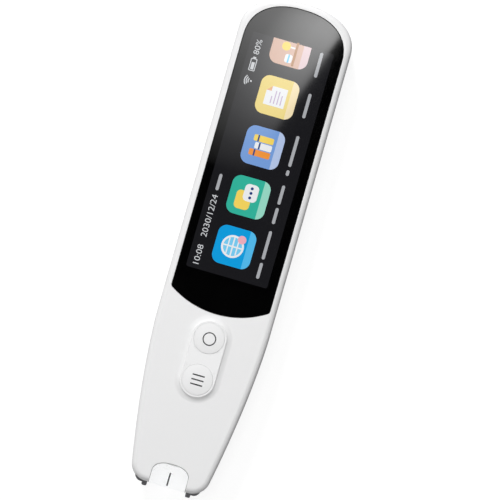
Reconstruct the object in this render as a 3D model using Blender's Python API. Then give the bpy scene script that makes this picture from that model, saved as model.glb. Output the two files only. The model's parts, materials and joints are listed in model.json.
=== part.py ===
"""A handheld scanning pen with a colour touch screen, lying on its back.

Lengths are in metres and +Z points out of the screen. The pen lies along Y, with the socket end at +Y
and the scanning nose at -Y. The origin is on the surface that it lies on, under the middle of the pen.
"""

import math

import bmesh
import bpy
from mathutils import Matrix, Vector

# Outer form
PEN_LENGTH = 0.150
PEN_WIDTH = 0.0342
BODY_THICKNESS = 0.013
TOP_ARC = 0.0115
TOP_SQUARENESS = 2.3
TAPER_LENGTH = 0.052
TAPER_IN = 0.00625
TAPER_POWER = 1.635
NOSE_RISE = 0.005
RISE_POWER = 1.5
NOSE_CORNER = 0.0055
BACK_EDGE = 0.00575
FRONT_EDGE = 0.0018
SHELL_WALL = 0.0012
SEAM_DROP = 0.0024

# Fits
GAP = 0.0003
SLIDE_GAP = 0.00015
OVERRUN = 0.003

# Scanning tip
TIP_PROUD = 0.0013
TIP_TRAVEL = 0.001
LINER_WALL = 0.0009
LINER_LENGTH = 0.016
LINER_CORNER = 0.0021
LINER_END_PROUD = 0.00035
FOOT_WIDTH = 0.00155
LEG_DEPTH = 0.0032
SCOOP_DEPTH = 0.0108
SCOOP_REACH = 0.00735
SCOOP_POWER = 1.85
LINER_SCOOP_DEPTH = 0.0155
LINER_SCOOP_POWER = 2.1
LUG_REACH = 0.0022
LUG_THICKNESS = 0.0012
LUG_HEIGHT = 0.0053

# Sight window in the nose
SIGHT_SIDE = 0.00522
SIGHT_LENGTH = 0.0071
SIGHT_ARCH = 0.0035
SIGHT_SQUARENESS = 2.4
SIGHT_TONGUE_SHARE = 0.53
SIGHT_TONGUE_ROOT = 0.0012
SIGHT_TONGUE_LENGTH = 0.0024
SIGHT_TONGUE_THICKNESS = 0.0006

# Cover glass and display
GLASS_RIM = 0.00195
GLASS_TOP_ARC = 0.012
GLASS_THICKNESS = 0.0011
GLASS_FIT = 0.0001
GLASS_TO_ISLAND = 0.00207
GLASS_FOOT_RADIUS = 0.02725
GLASS_CORNER = 0.0012
LEDGE_DROP = 0.00015
PANEL_SIDE = 0.0041
PANEL_TO_ISLAND = 0.01142
PANEL_THICKNESS = 0.00215
PANEL_FROM_TOP = 0.01015
PANEL_CORNER = 0.0008
GLUE_LINE = 0.00025
FLEX_WIDTH = 0.012
FLEX_THICKNESS = 0.0002
FLEX_REACH = 0.0085
CONNECTOR_LENGTH = 0.003
CONNECTOR_WIDTH = 0.013
CONNECTOR_HEIGHT = 0.0009

# Locating lips that the front shell puts inside the rear one
LIP_THICKNESS = 0.0009
LIP_DEPTH = 0.0013
LIP_FROM_TOP = 0.014
LIP_FROM_TIP = 0.066

# Keys
ISLAND_WIDTH = 0.0106
ISLAND_FROM_TIP = 0.02917
ISLAND_RAISE = 0.00075
ISLAND_EDGE = 0.0003
FLANGE_WIDTH = 0.0007
FLANGE_THICKNESS = 0.0006
KEY_MARGIN = 0.00075
KEY_SPACE = 0.00356
KEY_PROUD = 0.0001
KEY_DOME = 0.00015
KEY_EDGE = 0.00025
KEY_CAP = 0.0009
KEY_TRAVEL = 0.0004
KEY_REST = 0.0001
STEM_RADIUS = 0.0028
STEM_DEPTH = 0.00195
GASKET_THICKNESS = 0.0004
SWITCH_SIDE = 0.0052
SWITCH_HEIGHT = 0.00175
PLUNGER_RADIUS = 0.00095
PLUNGER_BURIED = 0.0005
WELL_FLOOR = 0.0007

# Main board and what it carries
BOARD_THICKNESS = 0.0008
BOARD_HEIGHT = 0.0071
BOARD_MARGIN = 0.0027
BOARD_FROM_TIP = 0.032
BOARD_CORNER = 0.002
BOSS_RADIUS = 0.0017
BOSS_INSET = 0.0057
BOSS_FROM_TOP = 0.012
BOSS_FROM_TIP = 0.054
PILOT_RADIUS = 0.0006
PILOT_DEPTH = 0.0038
SCREW_HEAD_RADIUS = 0.0014
SCREW_HEAD_HEIGHT = 0.0008
SCREW_SHANK_RADIUS = 0.00045
SCREW_HOLE_RADIUS = 0.00075
SHIELD_SIZE = (0.016, 0.015, 0.0011)
SHIELD_SHARE = 0.427
MEMORY_SIZE = (0.0115, 0.013, 0.0009)
MEMORY_SHARE = 0.547
POWER_CHIP_SIZE = (0.006, 0.006, 0.0008)
POWER_CHIP_SHARE = 0.32
ANTENNA_SIZE = (0.0052, 0.002, 0.0011)
ANTENNA_FROM_TOP = 0.0062
ANTENNA_SHARE = 0.225

# Charging socket
SOCKET_HEIGHT = 0.0063
SOCKET_WIDTH = 0.00894
SOCKET_THICKNESS = 0.00326
SOCKET_LENGTH = 0.0073
SOCKET_WALL = 0.0003
SOCKET_FROM_TOP = 0.0003
PORT_CLEARANCE = 0.00022
TONGUE_WIDTH = 0.0067
TONGUE_THICKNESS = 0.0007
TONGUE_LENGTH = 0.0045
TONGUE_ROOT = 0.0012
NOTCH_CLEARANCE = 0.0004

# Battery
BATTERY_SIDE = 0.0076
BATTERY_THICKNESS = 0.0038
BATTERY_FROM_TOP = 0.036
BATTERY_FROM_TIP = 0.058
BATTERY_EDGE = 0.0008
LEAD_RADIUS = 0.0004
LEAD_SPACING = 0.0016
LEAD_REACH = 0.0042
PLUG_SIZE = (0.0046, 0.0026, 0.0014)

# Speaker and microphone
SPEAKER_FROM_TOP = 0.0215
SPEAKER_RADIUS = 0.0075
SPEAKER_THICKNESS = 0.003
SPEAKER_RING_WALL = 0.0008
SPEAKER_RING_HEIGHT = 0.0022
SPEAKER_GASKET_WIDTH = 0.0015
SPEAKER_GASKET_THICKNESS = 0.0007
MESH_THICKNESS = 0.00015
GRILLE_HOLE_RADIUS = 0.0005
GRILLE_INNER_RADIUS = 0.0021
GRILLE_OUTER_RADIUS = 0.00415
PINHOLE_FROM_TIP = 0.0483
PINHOLE_HEIGHT = 0.0086
PINHOLE_RADIUS = 0.00045
MICROPHONE_RADIUS = 0.0019
MICROPHONE_LENGTH = 0.0013

# Optics in the nose
FRAME_LENGTH = 0.011
FRAME_SIDE = 0.0047
FRAME_FLOOR = 0.0040
REAR_POCKET_DEPTH = 0.0052
REAR_POCKET_WIDTH = 0.0086
FRONT_POCKET_DEPTH = 0.0034
FRONT_POCKET_SIDE = 0.0015
POCKET_WALL = 0.0006
BARREL_MARGIN = 0.00045
BARREL_WALL = 0.0007
CAMERA_LENGTH = 0.0044
LENS_THICKNESS = 0.0006
LENS_RECESS = 0.0012
LIGHT_BOARD_THICKNESS = 0.0008
LIGHT_SIZE = (0.0018, 0.00055, 0.0026)
LIGHT_SPACING_SHARE = 0.65
OPTICS_WINDOW_THICKNESS = 0.0007
CABLE_WIDTH = 0.005
CABLE_THICKNESS = 0.0002
CABLE_REACH = 0.0072

# Tip springs and tip switch
RIB_THICKNESS = 0.0012
SPRING_LENGTH = 0.006
SPRING_RADIUS = 0.00093
SPRING_WIRE = 0.000175
SPRING_TURNS = 5
SPRING_FROM_SIDE = 0.0041
SPRING_HEIGHT = 0.0090
TIP_SWITCH_SIZE = (0.0023, 0.0032, 0.0024)
TIP_SWITCH_HEIGHT = 0.0064
TIP_PLUNGER_RADIUS = 0.0006
TIP_PLUNGER_BURIED = 0.0007
TIP_WELL_FLOOR = 0.0004

# Counts of facets along each curve
TOP_STEPS = 12
TAPER_STEPS = 9
CORNER_STEPS = 5
CORNER_PASSES = 6
BACK_STEPS = 5
FRONT_STEPS = 3
SCOOP_STEPS = 9
ROUND_STEPS = 32
SMALL_ROUND_STEPS = 16
HOLE_STEPS = 10
OUTER_GRILLE_HOLES = 12
INNER_GRILLE_HOLES = 6
PILL_STEPS = 12
SPRING_POINTS = 9

# Where the pen's ends and its taper are
TOP_Y = PEN_LENGTH / 2
TIP_Y = -PEN_LENGTH / 2
TAPER_START = TIP_Y + TAPER_LENGTH


# The taper towards the nose, which places pieces inside it

def taper_run(y):
    return max(0.0, TAPER_START - y) / TAPER_LENGTH


def taper_in(y):
    """How far each side has come in at y."""
    return TAPER_IN * taper_run(y) ** TAPER_POWER


def taper_slope(y):
    return TAPER_IN / TAPER_LENGTH * TAPER_POWER * taper_run(y) ** (TAPER_POWER - 1)


def half_at(y):
    """Half the pen's width at y."""
    return PEN_WIDTH / 2 - taper_in(y)


# Places that follow from the sizes above
SEAM_HEIGHT = BODY_THICKNESS - SEAM_DROP
SHELL_END = TIP_Y + TIP_PROUD
LINER_INSET = SHELL_WALL + SLIDE_GAP
LINER_END = SHELL_END - LINER_END_PROUD
LINER_REAR = TIP_Y + LINER_LENGTH
FRONT_INSIDE = BODY_THICKNESS - SHELL_WALL
PLATE_UNDERSIDE = SEAM_HEIGHT + GAP / 2
GLASS_UNDERSIDE = BODY_THICKNESS - GLASS_THICKNESS
SIGHT_WIDTH = PEN_WIDTH - 2 * (TAPER_IN + SIGHT_SIDE)
KEY_RADIUS = ISLAND_WIDTH / 2 - KEY_MARGIN
KEY_PITCH = 2 * KEY_RADIUS + KEY_SPACE
ISLAND_LENGTH = ISLAND_WIDTH + KEY_PITCH
ISLAND_Y = TIP_Y + ISLAND_FROM_TIP + ISLAND_LENGTH / 2
ISLAND_START = ISLAND_Y + ISLAND_LENGTH / 2
GLASS_FOOT = ISLAND_START + GLASS_TO_ISLAND
PANEL_WIDTH = PEN_WIDTH - 2 * PANEL_SIDE
PANEL_TOP_Y = TOP_Y - PANEL_FROM_TOP
PANEL_END = ISLAND_START + PANEL_TO_ISLAND
PANEL_TOP = GLASS_UNDERSIDE - GLUE_LINE
PANEL_UNDERSIDE = PANEL_TOP - PANEL_THICKNESS
BOARD_TOP = BOARD_HEIGHT + BOARD_THICKNESS
BOARD_END = TIP_Y + BOARD_FROM_TIP
ISLAND_TOP = BODY_THICKNESS + ISLAND_RAISE
FLANGE_TOP = FRONT_INSIDE - GAP
FLANGE_UNDERSIDE = FLANGE_TOP - FLANGE_THICKNESS
KEY_TOP = ISLAND_TOP + KEY_PROUD + KEY_DOME
CAP_UNDERSIDE = KEY_TOP - KEY_DOME - KEY_CAP
KEY_POCKET_FLOOR = CAP_UNDERSIDE - KEY_TRAVEL - KEY_REST
STEM_END = CAP_UNDERSIDE - STEM_DEPTH
KEY_PLACES = {"home": ISLAND_Y + KEY_PITCH / 2, "menu": ISLAND_Y - KEY_PITCH / 2}
FRAME_FRONT = LINER_REAR + TIP_TRAVEL + GAP
FRAME_REAR = FRAME_FRONT + FRAME_LENGTH
FRAME_TOP = SEAM_HEIGHT - GAP
FRAME_MIDDLE = (FRAME_FLOOR + FRAME_TOP) / 2
BARREL_RADIUS = FRAME_TOP - POCKET_WALL - BARREL_MARGIN - FRAME_MIDDLE
LENS_RADIUS = BARREL_RADIUS - BARREL_WALL
LIGHT_HOLE_RADIUS = LENS_RADIUS + GAP
FRAME_WIDTH = 2 * (half_at(FRAME_FRONT) - FRAME_SIDE)
FRONT_POCKET_WIDTH = FRAME_WIDTH - 2 * FRONT_POCKET_SIDE
SPRING_REAR = LINER_REAR + GAP + SPRING_LENGTH
SPRING_SIDE = half_at(SPRING_REAR) - SPRING_FROM_SIDE
RIB_FRONT = SPRING_REAR + GAP
UNDER_BOARD = BOARD_HEIGHT - GAP
SOCKET_MOUTH = TOP_Y - SHELL_WALL / 2 - SOCKET_FROM_TOP
SOCKET_REAR = SOCKET_MOUTH - SOCKET_LENGTH
PINHOLE_Y = TIP_Y + PINHOLE_FROM_TIP
ABOVE_ALL = BODY_THICKNESS + OVERRUN

for leftover in list(bpy.data.objects):
    bpy.data.objects.remove(leftover, do_unlink=True)


# Materials

def make_material(name, colour, roughness, metallic=0.0, alpha=1.0):
    material = bpy.data.materials.new(name)
    material.use_nodes = True
    shader = material.node_tree.nodes["Principled BSDF"]
    shader.inputs["Base Color"].default_value = (*colour, 1.0)
    shader.inputs["Roughness"].default_value = roughness
    shader.inputs["Metallic"].default_value = metallic
    shader.inputs["Alpha"].default_value = alpha
    return material


WHITE_PLASTIC = make_material("white_plastic", (0.86, 0.86, 0.87), 0.25)
KEY_PLASTIC = make_material("key_plastic", (0.88, 0.88, 0.89), 0.3)
LINER_PLASTIC = make_material("liner_plastic", (0.13, 0.13, 0.14), 0.5)
BLACK_PLASTIC = make_material("black_plastic", (0.02, 0.02, 0.022), 0.5)
BLACK_GLASS = make_material("black_glass", (0.005, 0.005, 0.006), 0.05)
CLEAR_PLASTIC = make_material("clear_plastic", (0.9, 0.92, 0.93), 0.05, alpha=0.4)
DISPLAY = make_material("display", (0.02, 0.02, 0.03), 0.2)
FLEX_AMBER = make_material("flex_amber", (0.45, 0.22, 0.05), 0.4)
SILICONE = make_material("silicone", (0.35, 0.36, 0.37), 0.7)
BOARD_GREEN = make_material("board_green", (0.02, 0.16, 0.07), 0.45)
STEEL = make_material("steel", (0.6, 0.6, 0.61), 0.3, metallic=1.0)
CERAMIC = make_material("ceramic", (0.75, 0.74, 0.7), 0.5)
FOIL = make_material("battery_foil", (0.55, 0.57, 0.6), 0.35, metallic=0.8)
RED_WIRE = make_material("red_wire", (0.5, 0.02, 0.02), 0.5)
LAMP = make_material("lamp", (0.9, 0.85, 0.5), 0.3)


# Making and joining solids

def link_mesh(name, mesh_builder, material):
    """An object from a bmesh, with its faces turned out."""
    bmesh.ops.recalc_face_normals(mesh_builder, faces=mesh_builder.faces)
    mesh = bpy.data.meshes.new(name)
    mesh_builder.to_mesh(mesh)
    mesh_builder.free()
    made = bpy.data.objects.new(name, mesh)
    bpy.context.scene.collection.objects.link(made)
    if material:
        mesh.materials.append(material)
    return made


def helper(made):
    """Marks a cutter or a shape that another solid takes in."""
    made.hide_render = True
    made.display_type = "WIRE"
    return made


def combine(made, other, operation):
    boolean = made.modifiers.new(f"{operation.lower()} {other.name}", "BOOLEAN")
    boolean.operation = operation
    boolean.object = other
    return made


def cut(made, *cutters):
    for cutter in cutters:
        combine(made, helper(cutter), "DIFFERENCE")
    return made


def join(made, *others):
    for other in others:
        combine(made, helper(other), "UNION")
    return made


def place(made, point):
    """Moves the origin of a solid to a point of the pen and leaves its shape where it was."""
    made.data.transform(Matrix.Translation(-Vector(point)))
    made.location = point
    return made


def box(name, low, high, material=None):
    builder = bmesh.new()
    bmesh.ops.create_cube(builder, size=1)
    low, high = Vector(low), Vector(high)
    size = high - low
    bmesh.ops.scale(builder, vec=size, verts=builder.verts)
    bmesh.ops.translate(builder, vec=(low + high) / 2, verts=builder.verts)
    return link_mesh(name, builder, material)


def block(name, centre, size, material=None, edge=0.0):
    """A box given by its centre and size, with its edges cut back by a bevel where one is asked for."""
    builder = bmesh.new()
    bmesh.ops.create_cube(builder, size=1)
    bmesh.ops.scale(builder, vec=Vector(size), verts=builder.verts)
    if edge:
        edges = builder.edges[:]
        bmesh.ops.bevel(builder, geom=edges, offset=edge, segments=2, profile=0.5, affect="EDGES")
    bmesh.ops.translate(builder, vec=Vector(centre), verts=builder.verts)
    return link_mesh(name, builder, material)


def stack(name, rings, material=None):
    """A closed solid through rings of points that all have the same count, with a face at each end."""
    builder = bmesh.new()
    loops = [[builder.verts.new(point) for point in ring] for ring in rings]
    count = len(loops[0])
    for lower, upper in zip(loops, loops[1:]):
        for here in range(count):
            after = (here + 1) % count
            builder.faces.new((lower[here], lower[after], upper[after], upper[here]))
    builder.faces.new(loops[0][::-1])
    builder.faces.new(loops[-1])
    return link_mesh(name, builder, material)


def prism(name, outline, low, high, material=None):
    """An upright solid over a flat outline."""
    return stack(name, [[(x, y, z) for x, y in outline] for z in (low, high)], material)


def add_turned(builder, profile, centre, axis, steps):
    """Adds a body turned round an axis through its centre, from (radius, distance along it) points."""
    quarter = math.pi / 2
    turn = {"X": Matrix.Rotation(quarter, 4, "Y"), "Y": Matrix.Rotation(-quarter, 4, "X"), "Z": Matrix()}
    to_place = Matrix.Translation(Vector(centre)) @ turn[axis]
    loops = []
    for radius, along in profile:
        count = steps if radius else 1
        angles = [2 * math.pi * step / count for step in range(count)]
        points = [Vector((radius * math.cos(a), radius * math.sin(a), along)) for a in angles]
        loops.append([builder.verts.new(to_place @ point) for point in points])
    for lower, upper in zip(loops, loops[1:]):
        for here in range(steps):
            after = (here + 1) % steps
            corners = [lower[here % len(lower)], lower[after % len(lower)]]
            corners += [upper[after % len(upper)], upper[here % len(upper)]]
            face = list(dict.fromkeys(corners))
            if len(face) > 2:
                builder.faces.new(face)
    if profile[0][0] and profile[-1][0]:
        for here in range(steps):
            after = (here + 1) % steps
            builder.faces.new((loops[-1][here], loops[-1][after], loops[0][after], loops[0][here]))


def turned(name, profile, centre, axis="Z", steps=ROUND_STEPS, material=None):
    """A turned solid, or a ring where neither end of its profile is on the axis."""
    builder = bmesh.new()
    add_turned(builder, profile, centre, axis, steps)
    return link_mesh(name, builder, material)


def rod(name, radius, centre, start, end, axis="Z", steps=SMALL_ROUND_STEPS, material=None):
    profile = [(0, start), (radius, start), (radius, end), (0, end)]
    return turned(name, profile, centre, axis, steps, material)


def rods(name, radius, places, start, end, steps=HOLE_STEPS):
    """Upright rods at many places, as one cutter."""
    builder = bmesh.new()
    for x, y in places:
        profile = [(0, start), (radius, start), (radius, end), (0, end)]
        add_turned(builder, profile, (x, y, 0), "Z", steps)
    return link_mesh(name, builder, None)


def ring(name, inner, outer, centre, start, end, material=None):
    profile = [(inner, start), (outer, start), (outer, end), (inner, end)]
    return turned(name, profile, centre, material=material)


def pill(half_width, half_length, centre_y):
    """A flat outline with straight sides along Y and round ends."""
    straight = half_length - half_width
    points = []
    for end, turn in ((1, 0), (-1, math.pi)):
        for step in range(PILL_STEPS + 1):
            angle = turn + math.pi * step / PILL_STEPS
            y = centre_y + end * straight + half_width * math.sin(angle)
            points.append((half_width * math.cos(angle), y))
    return points


def wire(name, points, radius, material, sides=1):
    curve = bpy.data.curves.new(name, "CURVE")
    curve.dimensions = "3D"
    curve.bevel_depth = radius
    curve.bevel_resolution = sides
    curve.use_fill_caps = True
    curve.materials.append(material)
    spline = curve.splines.new("POLY")
    spline.points.add(len(points) - 1)
    for point, place_at in zip(spline.points, points):
        point.co = (*place_at, 1)
    made = bpy.data.objects.new(name, curve)
    bpy.context.scene.collection.objects.link(made)
    return made


def ribbon(name, path, width, thickness, material):
    """A flat cable: a strip across X whose underside follows (y, z) points."""
    lower = [(y, z) for y, z in path]
    upper = [(y, z + thickness) for y, z in reversed(path)]
    sides = [[(x, y, z) for y, z in lower + upper] for x in (-width / 2, width / 2)]
    return stack(name, sides, material)


# The outer form, as rings of its plan

def lifted(y, z):
    """The back curves up towards the nose, by less the nearer a point is to the seam."""
    share = max(0.0, 1 - z / SEAM_HEIGHT)
    return z + NOSE_RISE * taper_run(y) ** RISE_POWER * share


def top_arc(half_width, top_y, arc):
    """The right half of the round top end, from its middle to the straight side."""
    power = 2 / TOP_SQUARENESS
    points = []
    for step in range(TOP_STEPS + 1):
        angle = math.pi / 2 * step / TOP_STEPS
        up = max(0.0, math.cos(angle)) ** power
        points.append((half_width * math.sin(angle) ** power, top_y - arc * (1 - up)))
    return points


def plan_half(inset, end_y, corner):
    """The right half of the pen's plan, from the middle of its top end to its nose."""
    half = PEN_WIDTH / 2 - inset
    points = top_arc(half, TOP_Y - inset, TOP_ARC - inset)
    corner_y, lean = end_y + corner, 0.0
    for _ in range(CORNER_PASSES):
        lean = math.atan(taper_slope(corner_y))
        corner_y = end_y + corner * (1 - math.sin(lean))
    for step in range(TAPER_STEPS):
        y = TAPER_START + (corner_y - TAPER_START) * step / TAPER_STEPS
        points.append((half - taper_in(y), y))
    centre_x = half - taper_in(corner_y) - corner * math.cos(lean)
    for step in range(CORNER_STEPS + 1):
        angle = lean + (math.pi / 2 - lean) * step / CORNER_STEPS
        points.append((centre_x + corner * math.cos(angle), end_y + corner * (1 - math.sin(angle))))
    return points


def plan(inset, end_y, corner):
    right = plan_half(inset, end_y, corner)
    return right + [(-x, y) for x, y in reversed(right[1:])]


def pen_solid(name, inset, end_y, corner, material=None):
    """The pen's form, everywhere this far inside its outer surface, as one closed solid."""
    back = BACK_EDGE - inset
    front = max(FRONT_EDGE - inset, 0.0)
    top = BODY_THICKNESS - inset
    levels = []
    for step in range(BACK_STEPS + 1):
        angle = math.pi / 2 * step / BACK_STEPS
        levels.append((inset + back * (1 - math.cos(angle)), back * (1 - math.sin(angle))))
    steps = FRONT_STEPS if front else 0
    for step in range(steps + 1):
        angle = math.pi / 2 * step / max(steps, 1)
        levels.append((top - front * (1 - math.sin(angle)), front * (1 - math.cos(angle))))
    builder = bmesh.new()
    loops = []
    for z, more in levels:
        outline = plan(inset + more, end_y + more, max(corner - more, GAP))
        loops.append([builder.verts.new((x, y, lifted(y, z))) for x, y in outline])
    count = len(loops[0])
    for lower, upper in zip(loops, loops[1:]):
        for here in range(count):
            after = (here + 1) % count
            builder.faces.new((lower[here], lower[after], upper[after], upper[here]))
    for loop in (loops[0], loops[-1]):
        builder.faces.new((loop[0], loop[1], loop[-1]))
        for here in range(1, count // 2):
            builder.faces.new((loop[here], loop[here + 1], loop[-here - 1], loop[-here]))
    bmesh.ops.triangulate(builder, faces=builder.faces)
    return link_mesh(name, builder, material)


def scoop(name, end_y, depth, power=SCOOP_POWER):
    """What the slanting cut takes off the back of the nose, up to the seam."""
    edge = []
    for step in range(SCOOP_STEPS + 1):
        down = (SEAM_HEIGHT + OVERRUN) * step / SCOOP_STEPS
        edge.append((end_y + depth * (down / SCOOP_REACH) ** power, SEAM_HEIGHT - down))
    far = TIP_Y - OVERRUN
    outline = edge + [(far, edge[-1][1]), (far, SEAM_HEIGHT)]
    half = PEN_WIDTH / 2
    return stack(name, [[(x, y, z) for y, z in outline] for x in (-half, half)])


def sight_outline(half_width, top_y, foot_y):
    """The window's plan: an arch over straight sides."""
    points = [(half_width, foot_y)]
    power = 2 / SIGHT_SQUARENESS
    for step in range(2 * PILL_STEPS + 1):
        angle = math.pi * step / (2 * PILL_STEPS)
        side = math.copysign(abs(math.cos(angle)) ** power, math.cos(angle))
        points.append((half_width * side, top_y - SIGHT_ARCH * (1 - abs(math.sin(angle)) ** power)))
    return points + [(-half_width, foot_y)]


def glass_outline(grow):
    """The glass follows the pen's round top end and stops in a shallow arc above the keys."""
    half = PEN_WIDTH / 2 - GLASS_RIM + grow
    foot_radius = GLASS_FOOT_RADIUS + grow
    middle = GLASS_FOOT + GLASS_FOOT_RADIUS
    corner = GLASS_CORNER + grow
    right = top_arc(half, TOP_Y - GLASS_RIM + grow, GLASS_TOP_ARC + grow)
    corner_x = half - corner
    corner_y = middle - math.sqrt((foot_radius - corner) ** 2 - corner_x ** 2)
    last = math.atan2(middle - corner_y, corner_x)
    for step in range(CORNER_STEPS + 1):
        angle = last * step / CORNER_STEPS
        right.append((corner_x + corner * math.cos(angle), corner_y - corner * math.sin(angle)))
    for step in range(1, CORNER_STEPS + 1):
        angle = last + (math.pi / 2 - last) * step / CORNER_STEPS
        right.append((foot_radius * math.cos(angle), middle - foot_radius * math.sin(angle)))
    return right + [(-x, y) for x, y in reversed(right[1:-1])]


def panel_outline(grow):
    half_width = PANEL_WIDTH / 2 + grow
    corner = PANEL_CORNER + grow
    middle = (PANEL_TOP_Y + PANEL_END) / 2
    half_length = (PANEL_TOP_Y - PANEL_END) / 2 + grow
    points = []
    for side, end, quarter in ((1, 1, 0), (-1, 1, 1), (-1, -1, 2), (1, -1, 3)):
        centre = (side * (half_width - corner), middle + end * (half_length - corner))
        for step in range(CORNER_STEPS + 1):
            angle = math.pi / 2 * (quarter + step / CORNER_STEPS)
            points.append((centre[0] + corner * math.cos(angle), centre[1] + corner * math.sin(angle)))
    return points


# Shells

def nose_cavity(name):
    return pen_solid(name, SHELL_WALL, LINER_END - SLIDE_GAP, LINER_CORNER + SLIDE_GAP)


def make_front_shell():
    shell = pen_solid("front_shell", 0.0, SHELL_END, NOSE_CORNER, WHITE_PLASTIC)
    wide = PEN_WIDTH
    low = (-wide, TIP_Y - OVERRUN, -OVERRUN)
    cut(shell, box("below the seam", low, (wide, TOP_Y + OVERRUN, PLATE_UNDERSIDE)))
    cavity = nose_cavity("front cavity")
    screen_end = ISLAND_START + FLANGE_WIDTH + GAP
    cut(cavity, box("screen seat", (-wide, screen_end, -OVERRUN), (wide, TOP_Y + OVERRUN, BODY_THICKNESS)))
    pocket_floor = GLASS_UNDERSIDE - LEDGE_DROP
    high = BODY_THICKNESS + OVERRUN
    island = pill(ISLAND_WIDTH / 2 + SLIDE_GAP, ISLAND_LENGTH / 2 + SLIDE_GAP, ISLAND_Y)
    sight = sight_outline(SIGHT_WIDTH / 2, SHELL_END + SIGHT_LENGTH, TIP_Y - OVERRUN)
    panel = panel_outline(GAP)
    cut(
        shell,
        cavity,
        prism("glass pocket", glass_outline(GLASS_FIT), pocket_floor, high),
        prism("display opening", panel, SEAM_HEIGHT - OVERRUN, pocket_floor + OVERRUN),
        prism("island opening", island, SEAM_HEIGHT, high),
        prism("sight opening", sight, SEAM_HEIGHT, high),
    )
    outside = PEN_WIDTH / 2 - SHELL_WALL - SLIDE_GAP
    for side, word in ((-1, "left"), (1, "right")):
        ends = sorted((side * outside, side * (outside - LIP_THICKNESS)))
        low = (ends[0], TIP_Y + LIP_FROM_TIP, PLATE_UNDERSIDE - LIP_DEPTH)
        high = (ends[1], TOP_Y - LIP_FROM_TOP, PLATE_UNDERSIDE + LIP_THICKNESS / 2)
        join(shell, box(f"{word} lip", low, high))
    return shell


def grille_places():
    centre_y = TOP_Y - SPEAKER_FROM_TOP
    places = [(0.0, centre_y)]
    circles = ((INNER_GRILLE_HOLES, GRILLE_INNER_RADIUS), (OUTER_GRILLE_HOLES, GRILLE_OUTER_RADIUS))
    for count, radius in circles:
        for hole in range(count):
            angle = 2 * math.pi * hole / count
            places.append((radius * math.cos(angle), centre_y + radius * math.sin(angle)))
    return places


def boss_places():
    side = PEN_WIDTH / 2 - BOSS_INSET
    return [(x, y) for y in (TOP_Y - BOSS_FROM_TOP, TIP_Y + BOSS_FROM_TIP) for x in (-side, side)]


def socket_outline(grow):
    half_width = SOCKET_WIDTH / 2 + grow
    half_height = SOCKET_THICKNESS / 2 + grow
    return [(y, x + SOCKET_HEIGHT) for x, y in pill(half_height, half_width, 0.0)]


def socket_prism(name, grow, low_y, high_y, material=None):
    outline = socket_outline(grow)
    return stack(name, [[(x, y, z) for x, z in outline] for y in (low_y, high_y)], material)


def make_rear_shell():
    shell = pen_solid("rear_shell", 0.0, SHELL_END, NOSE_CORNER, WHITE_PLASTIC)
    wide = PEN_WIDTH
    low = (-wide, TIP_Y - OVERRUN, SEAM_HEIGHT - GAP / 2)
    cut(shell, box("above the seam", low, (wide, TOP_Y + OVERRUN, BODY_THICKNESS + OVERRUN)))
    cut(shell, nose_cavity("rear cavity"))
    boss_foot = SHELL_WALL / 2
    join(shell, rods("bosses", BOSS_RADIUS, boss_places(), boss_foot, UNDER_BOARD, SMALL_ROUND_STEPS))
    speaker_y = TOP_Y - SPEAKER_FROM_TOP
    inner = SPEAKER_RADIUS + GAP
    ring_top = SHELL_WALL + SPEAKER_RING_HEIGHT
    outer = inner + SPEAKER_RING_WALL
    join(shell, ring("speaker ring", inner, outer, (0, speaker_y, 0), boss_foot, ring_top))
    rib_inside = FRAME_WIDTH / 2 + GAP
    rib_high = SEAM_HEIGHT - GAP
    for side, word in ((-1, "left"), (1, "right")):
        rib = pen_solid(f"{word} rib", SHELL_WALL / 2, LINER_END, LINER_CORNER)
        rib_rear = RIB_FRONT + RIB_THICKNESS
        cut(rib, box(f"{word} rib rear", (-wide, rib_rear, -OVERRUN), (wide, TOP_Y, ABOVE_ALL)))
        cut(rib, box(f"{word} rib front", (-wide, TIP_Y - OVERRUN, -OVERRUN), (wide, RIB_FRONT, ABOVE_ALL)))
        cut(rib, box(f"{word} rib top", (-wide, TIP_Y, rib_high), (wide, TOP_Y, ABOVE_ALL)))
        ends = sorted((side * rib_inside, -side * wide))
        cut(rib, box(f"{word} rib inside", (ends[0], TIP_Y, -OVERRUN), (ends[1], TOP_Y, ABOVE_ALL)))
        join(shell, rib)
    pinhole = (-PEN_WIDTH / 2, PINHOLE_Y, PINHOLE_HEIGHT)
    cut(
        shell,
        scoop("scoop", SHELL_END, SCOOP_DEPTH),
        socket_prism("port", PORT_CLEARANCE, TOP_Y - 2 * OVERRUN, TOP_Y + OVERRUN),
        rod("pinhole", PINHOLE_RADIUS, pinhole, -OVERRUN, OVERRUN, "X", HOLE_STEPS),
        rods("grille holes", GRILLE_HOLE_RADIUS, grille_places(), -OVERRUN, 2 * SHELL_WALL),
        rods("pilot holes", PILOT_RADIUS, boss_places(), UNDER_BOARD - PILOT_DEPTH, BOARD_HEIGHT),
    )
    return shell


# Screen

def make_screen():
    prism("cover_glass", glass_outline(0.0), GLASS_UNDERSIDE, BODY_THICKNESS, BLACK_GLASS)
    prism("display_panel", panel_outline(0.0), PANEL_UNDERSIDE, PANEL_TOP, DISPLAY)
    low = BOARD_TOP + GAP + CONNECTOR_HEIGHT + GAP
    start = (PANEL_END - GAP, PANEL_UNDERSIDE + GAP)
    down = (PANEL_END - FLEX_REACH / 2, low)
    path = [start, (start[0] - GAP, start[1]), down, (PANEL_END - FLEX_REACH, low)]
    ribbon("display_flex", path, FLEX_WIDTH, FLEX_THICKNESS, FLEX_AMBER)
    centre = (0, PANEL_END - FLEX_REACH + CONNECTOR_LENGTH / 2, BOARD_TOP + GAP + CONNECTOR_HEIGHT / 2)
    block("display_connector", centre, (CONNECTOR_WIDTH, CONNECTOR_LENGTH, CONNECTOR_HEIGHT), BLACK_PLASTIC)


# Keys

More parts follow.
